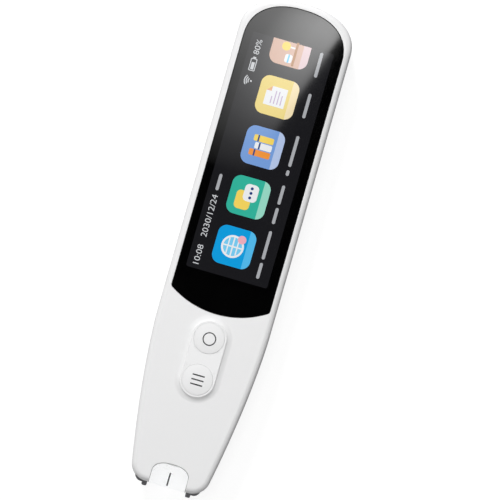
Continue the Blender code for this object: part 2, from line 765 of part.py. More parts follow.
def make_keys():
    half_width, half_length = ISLAND_WIDTH / 2, ISLAND_LENGTH / 2
    corner = ISLAND_EDGE * (1 - math.sqrt(0.5))
    levels = [
        (-FLANGE_WIDTH, FLANGE_UNDERSIDE),
        (-FLANGE_WIDTH, FLANGE_TOP),
        (0.0, FLANGE_TOP),
        (0.0, ISLAND_TOP - ISLAND_EDGE),
        (corner, ISLAND_TOP - corner),
        (ISLAND_EDGE / 2, ISLAND_TOP),
    ]
    rings = []
    for inset, z in levels:
        rings.append([(x, y, z) for x, y in pill(half_width - inset, half_length - inset, ISLAND_Y)])
    island = stack("button_island", rings, KEY_PLASTIC)
    gasket_top = FLANGE_UNDERSIDE - GAP
    outline = pill(half_width + FLANGE_WIDTH, half_length + FLANGE_WIDTH, ISLAND_Y)
    gasket = prism("button_gasket", outline, gasket_top - GASKET_THICKNESS, gasket_top, SILICONE)
    for word, y in KEY_PLACES.items():
        pocket = KEY_RADIUS + SLIDE_GAP
        shaft = STEM_RADIUS + SLIDE_GAP
        low, high = FLANGE_UNDERSIDE - OVERRUN, ISLAND_TOP + OVERRUN
        profile = [(0, low), (shaft, low), (shaft, KEY_POCKET_FLOOR)]
        profile += [(pocket, KEY_POCKET_FLOOR), (pocket, high), (0, high)]
        cut(island, turned(f"{word} pocket", profile, (0, y, 0)))
        cut(gasket, rod(f"{word} gasket hole", shaft, (0, y, 0), low, high, steps=ROUND_STEPS))
        make_key(word, y)
        make_switch(word, y)


def make_key(word, y):
    """A round cap on a stem that passes down through the island."""
    rim = KEY_TOP - KEY_DOME
    profile = [
        (0, STEM_END),
        (STEM_RADIUS, STEM_END),
        (STEM_RADIUS, CAP_UNDERSIDE),
        (KEY_RADIUS, CAP_UNDERSIDE),
        (KEY_RADIUS, rim - KEY_EDGE),
        (KEY_RADIUS - KEY_EDGE, rim),
        (KEY_RADIUS / 2, KEY_TOP - KEY_DOME / 4),
        (0, KEY_TOP),
    ]
    place(turned(f"{word}_button", profile, (0, y, 0), material=KEY_PLASTIC), (0, y, CAP_UNDERSIDE))


def make_switch(word, y):
    """A square tactile switch with a plunger under the key's stem."""
    low = BOARD_TOP + GAP
    high = low + SWITCH_HEIGHT
    size = (SWITCH_SIDE, SWITCH_SIDE, SWITCH_HEIGHT)
    body = block(f"{word}_switch", (0, y, (low + high) / 2), size, BLACK_PLASTIC)
    well = PLUNGER_RADIUS + SLIDE_GAP
    cut(body, rod(f"{word} switch well", well, (0, y, 0), low + WELL_FLOOR, high + OVERRUN))
    foot, head = high - PLUNGER_BURIED, STEM_END - GAP
    plunger = rod(f"{word}_switch_plunger", PLUNGER_RADIUS, (0, y, 0), foot, head, material=STEEL)
    place(plunger, (0, y, high))


# Main board

def make_board():
    outline = plan(SHELL_WALL + BOARD_MARGIN, BOARD_END, BOARD_CORNER)
    board = prism("main_board", outline, BOARD_HEIGHT, BOARD_TOP, BOARD_GREEN)
    half = SOCKET_WIDTH / 2 + NOTCH_CLEARANCE
    low = (-half, SOCKET_REAR - NOTCH_CLEARANCE, 0)
    cut(board, box("socket notch", low, (half, TOP_Y, ABOVE_ALL)))
    cut(board, rods("board holes", SCREW_HOLE_RADIUS, boss_places(), 0, ABOVE_ALL))
    for number, (x, y) in enumerate(boss_places(), 1):
        make_screw(number, x, y)
    chips = (
        ("processor_shield", SHIELD_SIZE, SHIELD_SHARE, STEEL),
        ("memory_chip", MEMORY_SIZE, MEMORY_SHARE, BLACK_PLASTIC),
        ("power_chip", POWER_CHIP_SIZE, POWER_CHIP_SHARE, BLACK_PLASTIC),
    )
    for name, size, share, material in chips:
        centre = (0, TOP_Y - PEN_LENGTH * share, UNDER_BOARD - size[2] / 2)
        block(name, centre, size, material, edge=size[2] / 6)
    height = BOARD_TOP + GAP + ANTENNA_SIZE[2] / 2
    centre = (PEN_WIDTH * ANTENNA_SHARE, TOP_Y - ANTENNA_FROM_TOP, height)
    block("wifi_antenna", centre, ANTENNA_SIZE, CERAMIC)


def make_screw(number, x, y):
    """A pan-head screw that holds the board down on its boss."""
    head = BOARD_TOP + GAP
    foot = UNDER_BOARD - PILOT_DEPTH + GAP
    profile = [
        (0, foot),
        (SCREW_SHANK_RADIUS, foot),
        (SCREW_SHANK_RADIUS, head),
        (SCREW_HEAD_RADIUS, head),
        (SCREW_HEAD_RADIUS, head + SCREW_HEAD_HEIGHT / 2),
        (SCREW_HEAD_RADIUS / 2, head + SCREW_HEAD_HEIGHT),
        (0, head + SCREW_HEAD_HEIGHT),
    ]
    screw = turned(f"board_screw_{number}", profile, (x, y, 0), steps=SMALL_ROUND_STEPS, material=STEEL)
    slot_half = SCREW_SHANK_RADIUS / 2
    long_half = SCREW_HEAD_RADIUS / 2
    floor = head + SCREW_HEAD_HEIGHT / 2
    for word, half_x, half_y in (("across", long_half, slot_half), ("along", slot_half, long_half)):
        low = (x - half_x, y - half_y, floor)
        high = (x + half_x, y + half_y, head + SCREW_HEAD_HEIGHT + OVERRUN)
        cut(screw, box(f"screw {number} {word}", low, high))


# Charging socket

def make_socket():
    shell = socket_prism("usb_shell", 0.0, SOCKET_REAR, SOCKET_MOUTH, STEEL)
    cut(shell, socket_prism("usb bore", -SOCKET_WALL, SOCKET_REAR - OVERRUN, SOCKET_MOUTH + OVERRUN))
    inside = -SOCKET_WALL - SLIDE_GAP
    root_end = SOCKET_REAR + TONGUE_ROOT
    tongue = socket_prism("usb_tongue", inside, SOCKET_REAR, root_end, BLACK_PLASTIC)
    low = (-TONGUE_WIDTH / 2, root_end - TONGUE_ROOT / 2, SOCKET_HEIGHT - TONGUE_THICKNESS / 2)
    high = (TONGUE_WIDTH / 2, root_end + TONGUE_LENGTH, SOCKET_HEIGHT + TONGUE_THICKNESS / 2)
    join(tongue, box("tongue blade", low, high))


# Battery

def make_battery():
    top_end, foot_end = TOP_Y - BATTERY_FROM_TOP, TIP_Y + BATTERY_FROM_TIP
    low = SHELL_WALL + GAP
    centre = (0, (top_end + foot_end) / 2, low + BATTERY_THICKNESS / 2)
    size = (PEN_WIDTH - 2 * BATTERY_SIDE, top_end - foot_end, BATTERY_THICKNESS)
    block("battery_cell", centre, size, FOIL, BATTERY_EDGE)
    plug_z = UNDER_BOARD - PLUG_SIZE[2] / 2
    plug_y = top_end + LEAD_REACH + PLUG_SIZE[1] / 2
    block("battery_plug", (0, plug_y, plug_z), PLUG_SIZE, CERAMIC)
    start_z = low + BATTERY_THICKNESS / 2
    for word, side, material in (("red", 1, RED_WIRE), ("black", -1, BLACK_PLASTIC)):
        x = side * LEAD_SPACING / 2
        start = Vector((x, top_end + GAP, start_z))
        end = Vector((x, plug_y - PLUG_SIZE[1] / 2 - GAP, plug_z))
        reach = (end.y - start.y) / 2
        points = []
        for step in range(PILL_STEPS + 1):
            share = step / PILL_STEPS
            ease = share * share * (3 - 2 * share)
            points.append((x, start.y + 2 * reach * share, start.z + (end.z - start.z) * ease))
        wire(f"battery_lead_{word}", points, LEAD_RADIUS, material)


# Speaker and microphone

def make_sound():
    y = TOP_Y - SPEAKER_FROM_TOP
    floor = SHELL_WALL + GAP
    inner = SPEAKER_RADIUS - SPEAKER_GASKET_WIDTH
    gasket_top = floor + SPEAKER_GASKET_THICKNESS
    ring("speaker_gasket", inner, SPEAKER_RADIUS, (0, y, 0), floor, gasket_top, SILICONE)
    mesh_top = floor + MESH_THICKNESS
    rod("speaker_mesh", inner - GAP, (0, y, 0), floor, mesh_top, steps=ROUND_STEPS, material=BLACK_PLASTIC)
    low = gasket_top + GAP
    step_z = low + SPEAKER_THICKNESS / 2
    profile = [
        (0, low),
        (SPEAKER_RADIUS, low),
        (SPEAKER_RADIUS, step_z),
        (SPEAKER_RADIUS - SPEAKER_GASKET_WIDTH, step_z),
        (SPEAKER_RADIUS - SPEAKER_GASKET_WIDTH, low + SPEAKER_THICKNESS),
        (0, low + SPEAKER_THICKNESS),
    ]
    turned("speaker", profile, (0, y, 0), material=STEEL)
    x = SHELL_WALL + GAP - half_at(PINHOLE_Y - MICROPHONE_RADIUS)
    centre = (x, PINHOLE_Y, PINHOLE_HEIGHT)
    rod("microphone", MICROPHONE_RADIUS, centre, 0, MICROPHONE_LENGTH, "X", SMALL_ROUND_STEPS, STEEL)


# Scanning tip

def make_liner():
    """The grey sleeve that slides in the nose, with two feet either side of the window."""
    liner = pen_solid("tip_liner", LINER_INSET, LINER_END, LINER_CORNER, LINER_PLASTIC)
    wide = PEN_WIDTH
    rear_high = (wide, TOP_Y + OVERRUN, ABOVE_ALL)
    cut(liner, box("behind the liner", (-wide, LINER_REAR, -OVERRUN), rear_high))
    foot_inside = SIGHT_WIDTH / 2 + GAP
    foot_low = SEAM_HEIGHT - LEG_DEPTH
    for side, word in ((-1, "left"), (1, "right")):
        xs = sorted((side * foot_inside, side * (foot_inside + FOOT_WIDTH)))
        low = (xs[0], TIP_Y, foot_low)
        high = (xs[1], LINER_END + LINER_WALL / 2, BODY_THICKNESS - LINER_INSET - GAP)
        join(liner, box(f"{word} foot", low, high))
    bore_inset = LINER_INSET + LINER_WALL
    bore = pen_solid("liner bore", bore_inset, LINER_END + LINER_WALL, LINER_CORNER - LINER_WALL)
    lug_inside = SPRING_SIDE - LUG_REACH / 2
    lug_low = SPRING_HEIGHT + LUG_REACH / 2 - LUG_HEIGHT
    for side, word in ((-1, "left"), (1, "right")):
        xs = sorted((side * lug_inside, side * wide))
        low = (xs[0], LINER_REAR - LUG_THICKNESS, lug_low)
        high = (xs[1], LINER_REAR + OVERRUN, SPRING_HEIGHT + LUG_REACH / 2)
        cut(bore, box(f"{word} lug", low, high))
    slot_end = SHELL_END + SIGHT_LENGTH + SIGHT_TONGUE_LENGTH + GAP
    slot_low = (-foot_inside, TIP_Y - OVERRUN, foot_low)
    slot_high = (foot_inside, slot_end, ABOVE_ALL)
    cut(
        liner,
        bore,
        scoop("liner scoop", TIP_Y, LINER_SCOOP_DEPTH, LINER_SCOOP_POWER),
        box("sight slot", slot_low, slot_high),
    )
    return place(liner, (0, LINER_REAR, SEAM_HEIGHT))


def make_sight_window():
    top_y = SHELL_END + SIGHT_LENGTH - SLIDE_GAP
    outline = sight_outline(SIGHT_WIDTH / 2 - SLIDE_GAP, top_y, SHELL_END)
    window = prism("sight_window", outline, FRONT_INSIDE, BODY_THICKNESS, CLEAR_PLASTIC)
    tongue_top = FRONT_INSIDE - GAP
    half = SIGHT_WIDTH * SIGHT_TONGUE_SHARE / 2
    root = top_y - SIGHT_TONGUE_ROOT
    neck_high = (half, top_y - SIGHT_TONGUE_ROOT / 2, FRONT_INSIDE + SIGHT_TONGUE_THICKNESS / 2)
    tongue = box(
        "sight tongue", (-half, root, tongue_top - SIGHT_TONGUE_THICKNESS),
        (half, top_y + SIGHT_TONGUE_LENGTH, tongue_top)
    )
    neck_low = (-half, root, tongue_top - SIGHT_TONGUE_THICKNESS / 2)
    join(tongue, box("sight neck", neck_low, neck_high))
    join(window, tongue)


def make_springs():
    for side, word in ((-1, "left"), (1, "right")):
        points = []
        total = SPRING_TURNS * SPRING_POINTS
        straight = SPRING_LENGTH - 2 * SPRING_WIRE
        for step in range(total + 1):
            angle = 2 * math.pi * step / SPRING_POINTS
            y = LINER_REAR + GAP + SPRING_WIRE + straight * step / total
            x = side * SPRING_SIDE + SPRING_RADIUS * math.cos(angle)
            points.append((x, y, SPRING_HEIGHT + SPRING_RADIUS * math.sin(angle)))
        wire(f"tip_spring_{word}", points, SPRING_WIRE, STEEL)


def make_tip_switch():
    x, z = -SPRING_SIDE, TIP_SWITCH_HEIGHT
    length = TIP_SWITCH_SIZE[1]
    rear = RIB_FRONT - GAP
    front = rear - length
    body = block("tip_switch", (x, rear - length / 2, z), TIP_SWITCH_SIZE, BLACK_PLASTIC)
    well = TIP_PLUNGER_RADIUS + SLIDE_GAP
    cut(body, rod("tip switch well", well, (x, 0, z), front - OVERRUN, rear - TIP_WELL_FLOOR, "Y"))
    start, end = LINER_REAR + GAP, front + TIP_PLUNGER_BURIED
    plunger = rod("tip_switch_plunger", TIP_PLUNGER_RADIUS, (x, 0, z), start, end, "Y", material=STEEL)
    place(plunger, (x, start, z))


# Optics

def make_optics():
    half = FRAME_WIDTH / 2
    low = (-half, FRAME_FRONT, FRAME_FLOOR)
    frame = box("optics_frame", low, (half, FRAME_REAR, FRAME_TOP), BLACK_PLASTIC)
    pocket_low, pocket_high = FRAME_FLOOR + POCKET_WALL, FRAME_TOP - POCKET_WALL
    rear_half, front_half = REAR_POCKET_WIDTH / 2, FRONT_POCKET_WIDTH / 2
    rear_floor = FRAME_REAR - REAR_POCKET_DEPTH
    front_floor = FRAME_FRONT + FRONT_POCKET_DEPTH
    centre = (0, 0, FRAME_MIDDLE)
    bore_end = rear_floor + OVERRUN
    frame_mouth = FRAME_FRONT - OVERRUN
    rear_high = (rear_half, FRAME_REAR + OVERRUN, pocket_high)
    cut(
        frame,
        box("rear pocket", (-rear_half, rear_floor, pocket_low), rear_high),
        box("front pocket", (-front_half, frame_mouth, pocket_low), (front_half, front_floor, pocket_high)),
        rod("barrel bore", BARREL_RADIUS + SLIDE_GAP, centre, FRAME_FRONT, bore_end, "Y", ROUND_STEPS),
    )
    camera_front = rear_floor + GAP
    camera_rear = camera_front + CAMERA_LENGTH
    camera_half = rear_half - GAP
    low = (-camera_half, camera_front, pocket_low + GAP)
    camera = box("camera_module", low, (camera_half, camera_rear, pocket_high - GAP), BLACK_PLASTIC)
    barrel_end = front_floor + GAP
    barrel_root = camera_front + CAMERA_LENGTH / 2
    join(camera, rod("barrel", BARREL_RADIUS, centre, barrel_end, barrel_root, "Y", ROUND_STEPS))
    recess_end = barrel_end + LENS_RECESS
    recess = rod("barrel recess", LENS_RADIUS + SLIDE_GAP, centre, barrel_end - OVERRUN, recess_end, "Y")
    cut(camera, recess)
    lens_rear = barrel_end + LENS_RECESS - GAP
    middle = lens_rear - LENS_THICKNESS / 2
    edge_front = lens_rear - LENS_THICKNESS
    profile = [(0, edge_front), (LENS_RADIUS / 2, edge_front + SLIDE_GAP / 4), (LENS_RADIUS, middle)]
    profile += [(LENS_RADIUS, lens_rear), (0, lens_rear)]
    turned("camera_lens", profile, centre, "Y", ROUND_STEPS, CLEAR_PLASTIC)
    board_rear = front_floor - GAP
    board_front = board_rear - LIGHT_BOARD_THICKNESS
    board_half = front_half - GAP
    low = (-board_half, board_front, pocket_low + GAP)
    light_board = box("light_board", low, (board_half, board_rear, pocket_high - GAP), BOARD_GREEN)
    hole = rod("light hole", LIGHT_HOLE_RADIUS, centre, board_front - OVERRUN, board_rear + OVERRUN, "Y")
    cut(light_board, hole)
    light_y = board_front - GAP - LIGHT_SIZE[1] / 2
    for side, word in ((-1, "left"), (1, "right")):
        x = side * FRONT_POCKET_WIDTH * LIGHT_SPACING_SHARE / 2
        block(f"light_{word}", (x, light_y, FRAME_MIDDLE), LIGHT_SIZE, LAMP)
    pane_front = FRAME_FRONT + GAP
    pane_rear = pane_front + OPTICS_WINDOW_THICKNESS
    low = (-board_half, pane_front, pocket_low + GAP)
    box("optics_window", low, (board_half, pane_rear, pocket_high - GAP), CLEAR_PLASTIC)
    start = camera_rear + GAP
    low = FRAME_MIDDLE - REAR_POCKET_WIDTH / 4
    high = UNDER_BOARD - CABLE_THICKNESS
    path = [(start, low), (start + CABLE_THICKNESS, low), (BOARD_END, high), (start + CABLE_REACH, high)]
    ribbon("camera_cable", path, CABLE_WIDTH, CABLE_THICKNESS, FLEX_AMBER)


make_front_shell()
make_rear_shell()
make_screen()
make_keys()
make_board()
make_socket()
make_battery()
make_sound()
make_liner()
make_sight_window()
make_springs()
make_tip_switch()
make_optics()
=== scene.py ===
"""Looks of the scanning pen: its case, screen, keys, scanning tip and the parts inside."""
import json
import math

import bmesh
import bpy
from mathutils import Matrix, Vector


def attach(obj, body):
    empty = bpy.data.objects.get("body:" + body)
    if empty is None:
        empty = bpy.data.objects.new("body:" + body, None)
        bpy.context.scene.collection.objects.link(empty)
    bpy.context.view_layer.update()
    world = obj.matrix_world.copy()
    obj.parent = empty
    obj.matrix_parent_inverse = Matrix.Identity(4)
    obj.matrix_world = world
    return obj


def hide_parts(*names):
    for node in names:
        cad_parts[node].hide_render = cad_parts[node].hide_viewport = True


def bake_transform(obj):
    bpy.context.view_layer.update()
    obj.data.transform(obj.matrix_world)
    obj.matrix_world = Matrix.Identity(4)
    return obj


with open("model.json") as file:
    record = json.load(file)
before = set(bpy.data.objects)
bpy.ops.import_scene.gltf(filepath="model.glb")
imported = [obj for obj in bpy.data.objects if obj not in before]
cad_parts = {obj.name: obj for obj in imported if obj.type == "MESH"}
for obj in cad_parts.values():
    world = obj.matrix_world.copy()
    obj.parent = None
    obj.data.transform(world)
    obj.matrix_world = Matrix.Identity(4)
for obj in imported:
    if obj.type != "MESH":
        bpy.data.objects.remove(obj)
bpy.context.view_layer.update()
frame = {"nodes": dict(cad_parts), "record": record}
scene = bpy.context.scene
MM = 0.001

# Outer form, as in the solids
PEN_LENGTH = 0.150
PEN_WIDTH = 0.0342
BODY_THICKNESS = 0.013
TOP_ARC = 0.0115
TOP_SQUARENESS = 2.3
TAPER_LENGTH = 0.052
TAPER_IN = 0.00625
TAPER_POWER = 1.635
NOSE_RISE = 0.005
RISE_POWER = 1.5
NOSE_CORNER = 0.0055
BACK_EDGE = 0.00575
FRONT_EDGE = 0.0018
SHELL_WALL = 0.0012
SEAM_HEIGHT = 0.0106
SEAM_LINE = 0.00004
SEAM_ROUND = 0.00012
GAP = 0.0003
SLIDE_GAP = 0.00015
TOP_Y = PEN_LENGTH / 2
TIP_Y = -PEN_LENGTH / 2
TAPER_START = TIP_Y + TAPER_LENGTH
OVER = 0.003  # How far a cutter reaches past what it cuts
ROUND_MIDDLE = 0.3  # How far in the middle of a small round lies, as a share of its radius

# Scanning tip
SHELL_END = -0.0737
LINER_INSET = 0.00135
LINER_END = SHELL_END - 0.00035
LINER_WALL = 0.0009
LINER_CORNER = 0.0021
LINER_REAR = -0.059
SCOOP_DEPTH = 0.0108
SCOOP_REACH = 0.00735
SCOOP_POWER = 1.85
LINER_SCOOP_DEPTH = 0.0155
LINER_SCOOP_POWER = 2.1
LEG_LOW = SEAM_HEIGHT - 0.0032
FOOT_WIDTH = 0.00155
FOOT_LAP = 1.6 * LINER_WALL
FOOT_EDGE = 0.00045
SIGHT_WIDTH = 0.01126
SIGHT_LENGTH = 0.0071
SIGHT_ARCH = 0.0035
SIGHT_SQUARENESS = 2.4
SIGHT_TONGUE = 0.0024
SIGHT_FLARE = 0.0001
PANE_INSET = 0.0001
PANE_EDGE = 0.00012
# A black ring in the gap round the clear window, a little below its top: painted shade, a dark ring
# standing for the shadow in that gap
GAP_SHADE_OUTER = 0.00001
GAP_SHADE_INNER = 0.00009
GAP_SHADE_LOW = BODY_THICKNESS - 0.0006
GAP_SHADE_HIGH = BODY_THICKNESS - 0.0001
AIM_S = 146.2  # The aiming line's place in millimetres from the top end
AIM_SIZE = (0.45 * MM, 4.0 * MM)
AIM_CORNER = 0.1 * MM
SPRING_LENGTH = 0.006
SPRING_RADIUS = 0.00093
SPRING_WIRE = 0.000175
SPRING_TURNS = 5
SPRING_FROM_SIDE = 0.0041
SPRING_HEIGHT = 0.009
SPRING_FRONT = LINER_REAR + GAP
SPRING_REAR = SPRING_FRONT + SPRING_LENGTH

# Glass and keys
GLASS_RIM = 0.00195
GLASS_TOP_ARC = 0.012
GLASS_UNDERSIDE = 0.0119
GLASS_FOOT = -0.0205
GLASS_FOOT_RADIUS = 0.02725
GLASS_CORNER = 0.0012
GLASS_EDGE = 0.00018
GLASS_FIT = 0.00005
GLASS_FLARE = 0.00008
GLASS_SEAT = GLASS_UNDERSIDE - 0.00015
DISPLAY_LOW, DISPLAY_HIGH = (-0.0133, -0.01145), (0.0133, 0.06515)
ISLAND_WIDTH = 0.0106
ISLAND_LENGTH = 0.02326
ISLAND_Y = -0.0342
ISLAND_TOP = 0.01375
ISLAND_EDGE = 0.00036
ISLAND_SWELL = 0.0001
SWELL_LOW, SWELL_HIGH = BODY_THICKNESS - 0.0003, BODY_THICKNESS - 0.00015
COLLAR_GAP = 0.00008
COLLAR_REACH = 0.0019
COLLAR_RISE = 0.00048
COLLAR_POWER = 2.4
COLLAR_BASE = BODY_THICKNESS - 0.0004
COLLAR_RIM = BODY_THICKNESS - 0.000004
FLANGE_WIDTH = 0.0007
FLANGE_TOP = BODY_THICKNESS - SHELL_WALL - GAP
FLANGE_UNDERSIDE = FLANGE_TOP - 0.0006
KEY_RADIUS = 0.00455
KEY_TOP = 0.0140
KEY_DOME = 0.00015
KEY_SHY = 0.00001  # The keys' tops stay this much inside the solids' box
KEY_EDGE = 0.00007
CAP_RADIUS = KEY_RADIUS + 0.00002
CAP_UNDERSIDE = KEY_TOP - KEY_DOME - 0.0009
STEM_RADIUS = 0.0028
STEM_END = CAP_UNDERSIDE - 0.00195
POCKET_RADIUS = KEY_RADIUS + 0.00005
POCKET_FLOOR = CAP_UNDERSIDE - 0.0005
POCKET_EDGE = 0.00004
HOME_Y = ISLAND_Y + 0.00633
MENU_Y = ISLAND_Y - 0.00633
INK_DEPTH = 0.000012
INK_SINK = 0.000004

# Rear shell, socket, grille and pinhole
BOSS_FROM_SIDE = 0.0057
BOSS_PLACES_Y = (TOP_Y - 0.012, TIP_Y + 0.054)
BOSS_RADIUS = 0.0017
BOSS_TOP = 0.0068
BORE_RADIUS = 0.0006
BORE_FLOOR = 0.003
INNER_FLOOR = 0.0006
SOCKET_HEIGHT = 0.0063
SOCKET_WIDTH = 0.00894
SOCKET_THICKNESS = 0.00326
SOCKET_WALL = 0.0003
SOCKET_EDGE = 0.00008
SOCKET_MOUTH = 0.0741
SOCKET_REAR = SOCKET_MOUTH - 0.0073
PORT_FIT = 0.00022
PORT_DEPTH = 0.006
TONGUE_BASE = 0.0012
BLADE_HALF = (0.00335, 0.00035)
BLADE_RUN = (SOCKET_REAR + 0.0006, SOCKET_REAR + 0.0057)
BLADE_EDGE = 0.00012
CONTACT_HALF = (0.00013, 0.00003)
CONTACT_RUN = (SOCKET_REAR + 0.0016, SOCKET_REAR + 0.0052)
CONTACT_PITCH = 0.0005
SPEAKER_Y = 0.0535
SPEAKER_RADIUS = 0.0075
SPEAKER_WALL = 0.0008
SPEAKER_RING_TOP = 0.0034
GRILLE_RINGS = ((1, 0.0), (6, 0.0021), (12, 0.00415))  # Holes in each ring, and its radius
HOLE_RADIUS = 0.0005
HOLE_EDGE = 0.00012
HOLE_DEPTH = 0.0024
PINHOLE = (-PEN_WIDTH / 2, -0.0267, 0.0086)
PINHOLE_RADIUS = 0.00045

# The camera of the photograph
CAMERA_DISTANCE = 1.2
VIEW_WIDTH = 0.1478
VIEW_CENTRE = (0.00435, 0.00055)
VIEW_TURN = math.radians(16.05)
VIEW_PLANE = 0.012


# Camera

def add_camera():
    data = bpy.data.cameras.new("camera")
    data.lens = data.sensor_width * CAMERA_DISTANCE / VIEW_WIDTH
    data.clip_start = 0.05
    data.clip_end = 20
    camera = bpy.data.objects.new("camera", data)
    camera.location = (*VIEW_CENTRE, VIEW_PLANE + CAMERA_DISTANCE)
    camera.rotation_euler = (0, 0, VIEW_TURN)
    scene.collection.objects.link(camera)
    scene.camera = camera


add_camera()


# Materials

def give(made, values):
    """Sets or links a node's inputs, by name or number, or its settings where no input is so named."""
    for key, value in values.items():
        if isinstance(value, bpy.types.NodeSocket):
            made.id_data.links.new(value, made.inputs[key])
        elif isinstance(key, int) or key in made.inputs:
            made.inputs[key].default_value = value
        else:
            setattr(made, key, value)
    return made


def node(tree, kind, values=None):
    return give(tree.nodes.new(kind), values or {})


def new_material(name, values=None):
    """A material with its tree and its shader, which has these values."""
    material = bpy.data.materials.new(name)
    material.use_nodes = True
    tree = material.node_tree
    return material, tree, give(tree.nodes["Principled BSDF"], values or {})


def noise(tree, size, detail=4.0):
    """Noise whose features are about this many metres across, in the piece's own coordinates."""
    place = node(tree, "ShaderNodeTexCoord").outputs["Object"]
    values = {"Vector": place, "Scale": 1 / size, "Detail": detail, "Roughness": 0.55}
    return node(tree, "ShaderNodeTexNoise", values).outputs["Fac"]


def vary_gloss(shader, source, low, high):
    """Spreads the usual range of a noise, 0.3 to 0.7, over this range of roughness."""
    values = {"Value": source, "From Min": 0.3, "From Max": 0.7, "To Min": low, "To Max": high}
    give(shader, {"Roughness": node(shader.id_data, "ShaderNodeMapRange", values).outputs["Result"]})


def vary_colour(shader, source, low, high, socket="Base Color"):
    values = {"data_type": "RGBA", "Factor": source, "A": (*low, 1), "B": (*high, 1)}
    give(shader, {socket: node(shader.id_data, "ShaderNodeMix", values).outputs["Result"]})


def add_bump(shader, source, distance):
    values = {"Strength": 1.0, "Distance": distance, "Height": source}
    give(shader, {"Normal": node(shader.id_data, "ShaderNodeBump", values).outputs["Normal"]})


def scaled(colour, factor):
    return tuple(min(1.0, level * factor) for level in colour)


def surface(
    name, colour, roughness, vary=0.02, size=0.004, rough_vary=0.04, grain=0.0003, bump=0.000002
):
    """A moulded surface: slight colour and gloss variation and a fine grain."""
    material, tree, shader = new_material(name)
    vary_colour(shader, noise(tree, size), scaled(colour, 1 - vary), scaled(colour, 1 + vary))
    low, high = max(0.01, roughness - rough_vary), roughness + rough_vary
    vary_gloss(shader, noise(tree, size / 2), low, high)
    add_bump(shader, noise(tree, grain, detail=2.0), bump)
    return material


def brushed(name, colour, roughness, stretch=(1, 12, 1)):
    """Metal with fine lines along one direction."""
    line = 0.0004
    material, tree, shader = new_material(name, {"Metallic": 1.0})
    place = node(tree, "ShaderNodeTexCoord").outputs["Object"]
    values = {"Vector": place, "Scale": tuple(1 / (line * part) for part in stretch)}
    place = node(tree, "ShaderNodeMapping", values).outputs["Vector"]
    lines = node(tree, "ShaderNodeTexNoise", {"Vector": place, "Scale": 1.0, "Detail": 3.0}).outputs["Fac"]
    vary_colour(shader, lines, scaled(colour, 0.9), scaled(colour, 1.08))
    vary_gloss(shader, lines, roughness - 0.06, roughness + 0.1)
    add_bump(shader, lines, 0.000004)
    return material


def clear_surface(name, colour, roughness):
    material, tree, shader = new_material(name, {"Transmission Weight": 1.0, "IOR": 1.42})
    vary_colour(shader, noise(tree, 0.003), scaled(colour, 0.985), colour)
    vary_gloss(shader, noise(tree, 0.002), roughness, roughness + 0.02)
    add_bump(shader, noise(tree, 0.004, detail=1.0), 0.0000003)
    return material


def linear(level):
    """The linear value of a colour's level from 0 to 255."""
    share = level / 255
    return share / 12.92 if share <= 0.04045 else ((share + 0.055) / 1.055) ** 2.4


def lit_surface(name, levels, share=0.5):
    """A patch of the lit screen under the glass: part colour, part glow, with the rows of dots."""
    colour = tuple(linear(level) for level in levels)
    base = scaled(colour, 1 - share)
    pitch, gap, roughness = 0.00009, 0.00001, 0.03
    material, tree, shader = new_material(name, {"Emission Strength": 1.0})
    dots = node(tree, "ShaderNodeTexBrick", {
        "Vector": node(tree, "ShaderNodeTexCoord").outputs["Object"], "Scale": 1.0, "offset": 0.0,
        "Brick Width": pitch, "Row Height": pitch, "Mortar Size": gap, "Mortar Smooth": 0.5,
        "Color1": (*base, 1), "Color2": (*base, 1), "Mortar": (*scaled(base, 0.94), 1),
    })
    give(shader, {"Base Color": dots.outputs["Color"]})
    dim, bright = scaled(colour, share * 0.97), scaled(colour, share * 1.03)
    vary_colour(shader, noise(tree, 0.006), dim, bright, "Emission Color")
    vary_gloss(shader, noise(tree, 0.01), roughness, roughness + 0.01)
    return material


# Each slot's material
PAINTS = {
    "white_plastic": surface(
        "white_moulding", (0.89, 0.89, 0.893), 0.24, vary=0.004, size=0.02, rough_vary=0.01,
        bump=0.0000012
    ),
    "key_plastic": surface("key_moulding", (0.9, 0.9, 0.903), 0.3, vary=0.004, size=0.01, rough_vary=0.01),
    "liner_plastic": surface(
        "liner_moulding", (0.115, 0.115, 0.122), 0.5, vary=0.08, size=0.002, grain=0.0002, bump=0.00001
    ),
    "black_plastic": surface(
        "black_moulding", (0.022, 0.022, 0.024), 0.5, vary=0.1, size=0.002, grain=0.0002, bump=0.00001
    ),
    "screen_glass": surface(
        "cover_glass_black", (0.0006, 0.0006, 0.0007), 0.03, vary=0.2, size=0.02, rough_vary=0.01,
        grain=0.004, bump=0.0000002
    ),
    "clear_plastic": clear_surface("clear_moulding", (0.876, 0.881, 0.886), 0.01),
    "flex": surface("amber_film", (0.45, 0.22, 0.05), 0.35, vary=0.08, size=0.002),
    "silicone": surface("silicone_grey", (0.35, 0.36, 0.37), 0.7, vary=0.05, size=0.002, bump=0.000008),
    "circuit_board": surface("board_green", (0.02, 0.16, 0.07), 0.4, vary=0.15, size=0.0012, bump=0.000006),
    "steel": brushed("bright_steel", (0.62, 0.62, 0.63), 0.3),
    "ceramic": surface("ceramic_white", (0.75, 0.74, 0.7), 0.45, vary=0.04, size=0.001),
    "battery_foil": brushed("battery_foil", (0.55, 0.57, 0.6), 0.38, stretch=(8, 1, 1)),
    "red_wire": surface("red_insulation", (0.5, 0.02, 0.02), 0.4, vary=0.06, size=0.002),
    "lamp": surface("lamp_phosphor", (0.9, 0.85, 0.5), 0.3, vary=0.05, size=0.0006),
}
PAINTS["display"] = PAINTS["screen_glass"]
SYMBOL = surface("key_print", (0.03, 0.03, 0.033), 0.4, vary=0.08, size=0.001)

for subpart in frame["record"]["subparts"]:
    for place in frame["nodes"][subpart["node"]].material_slots:
        place.material = PAINTS[subpart["material_slot"]]


# Making solids

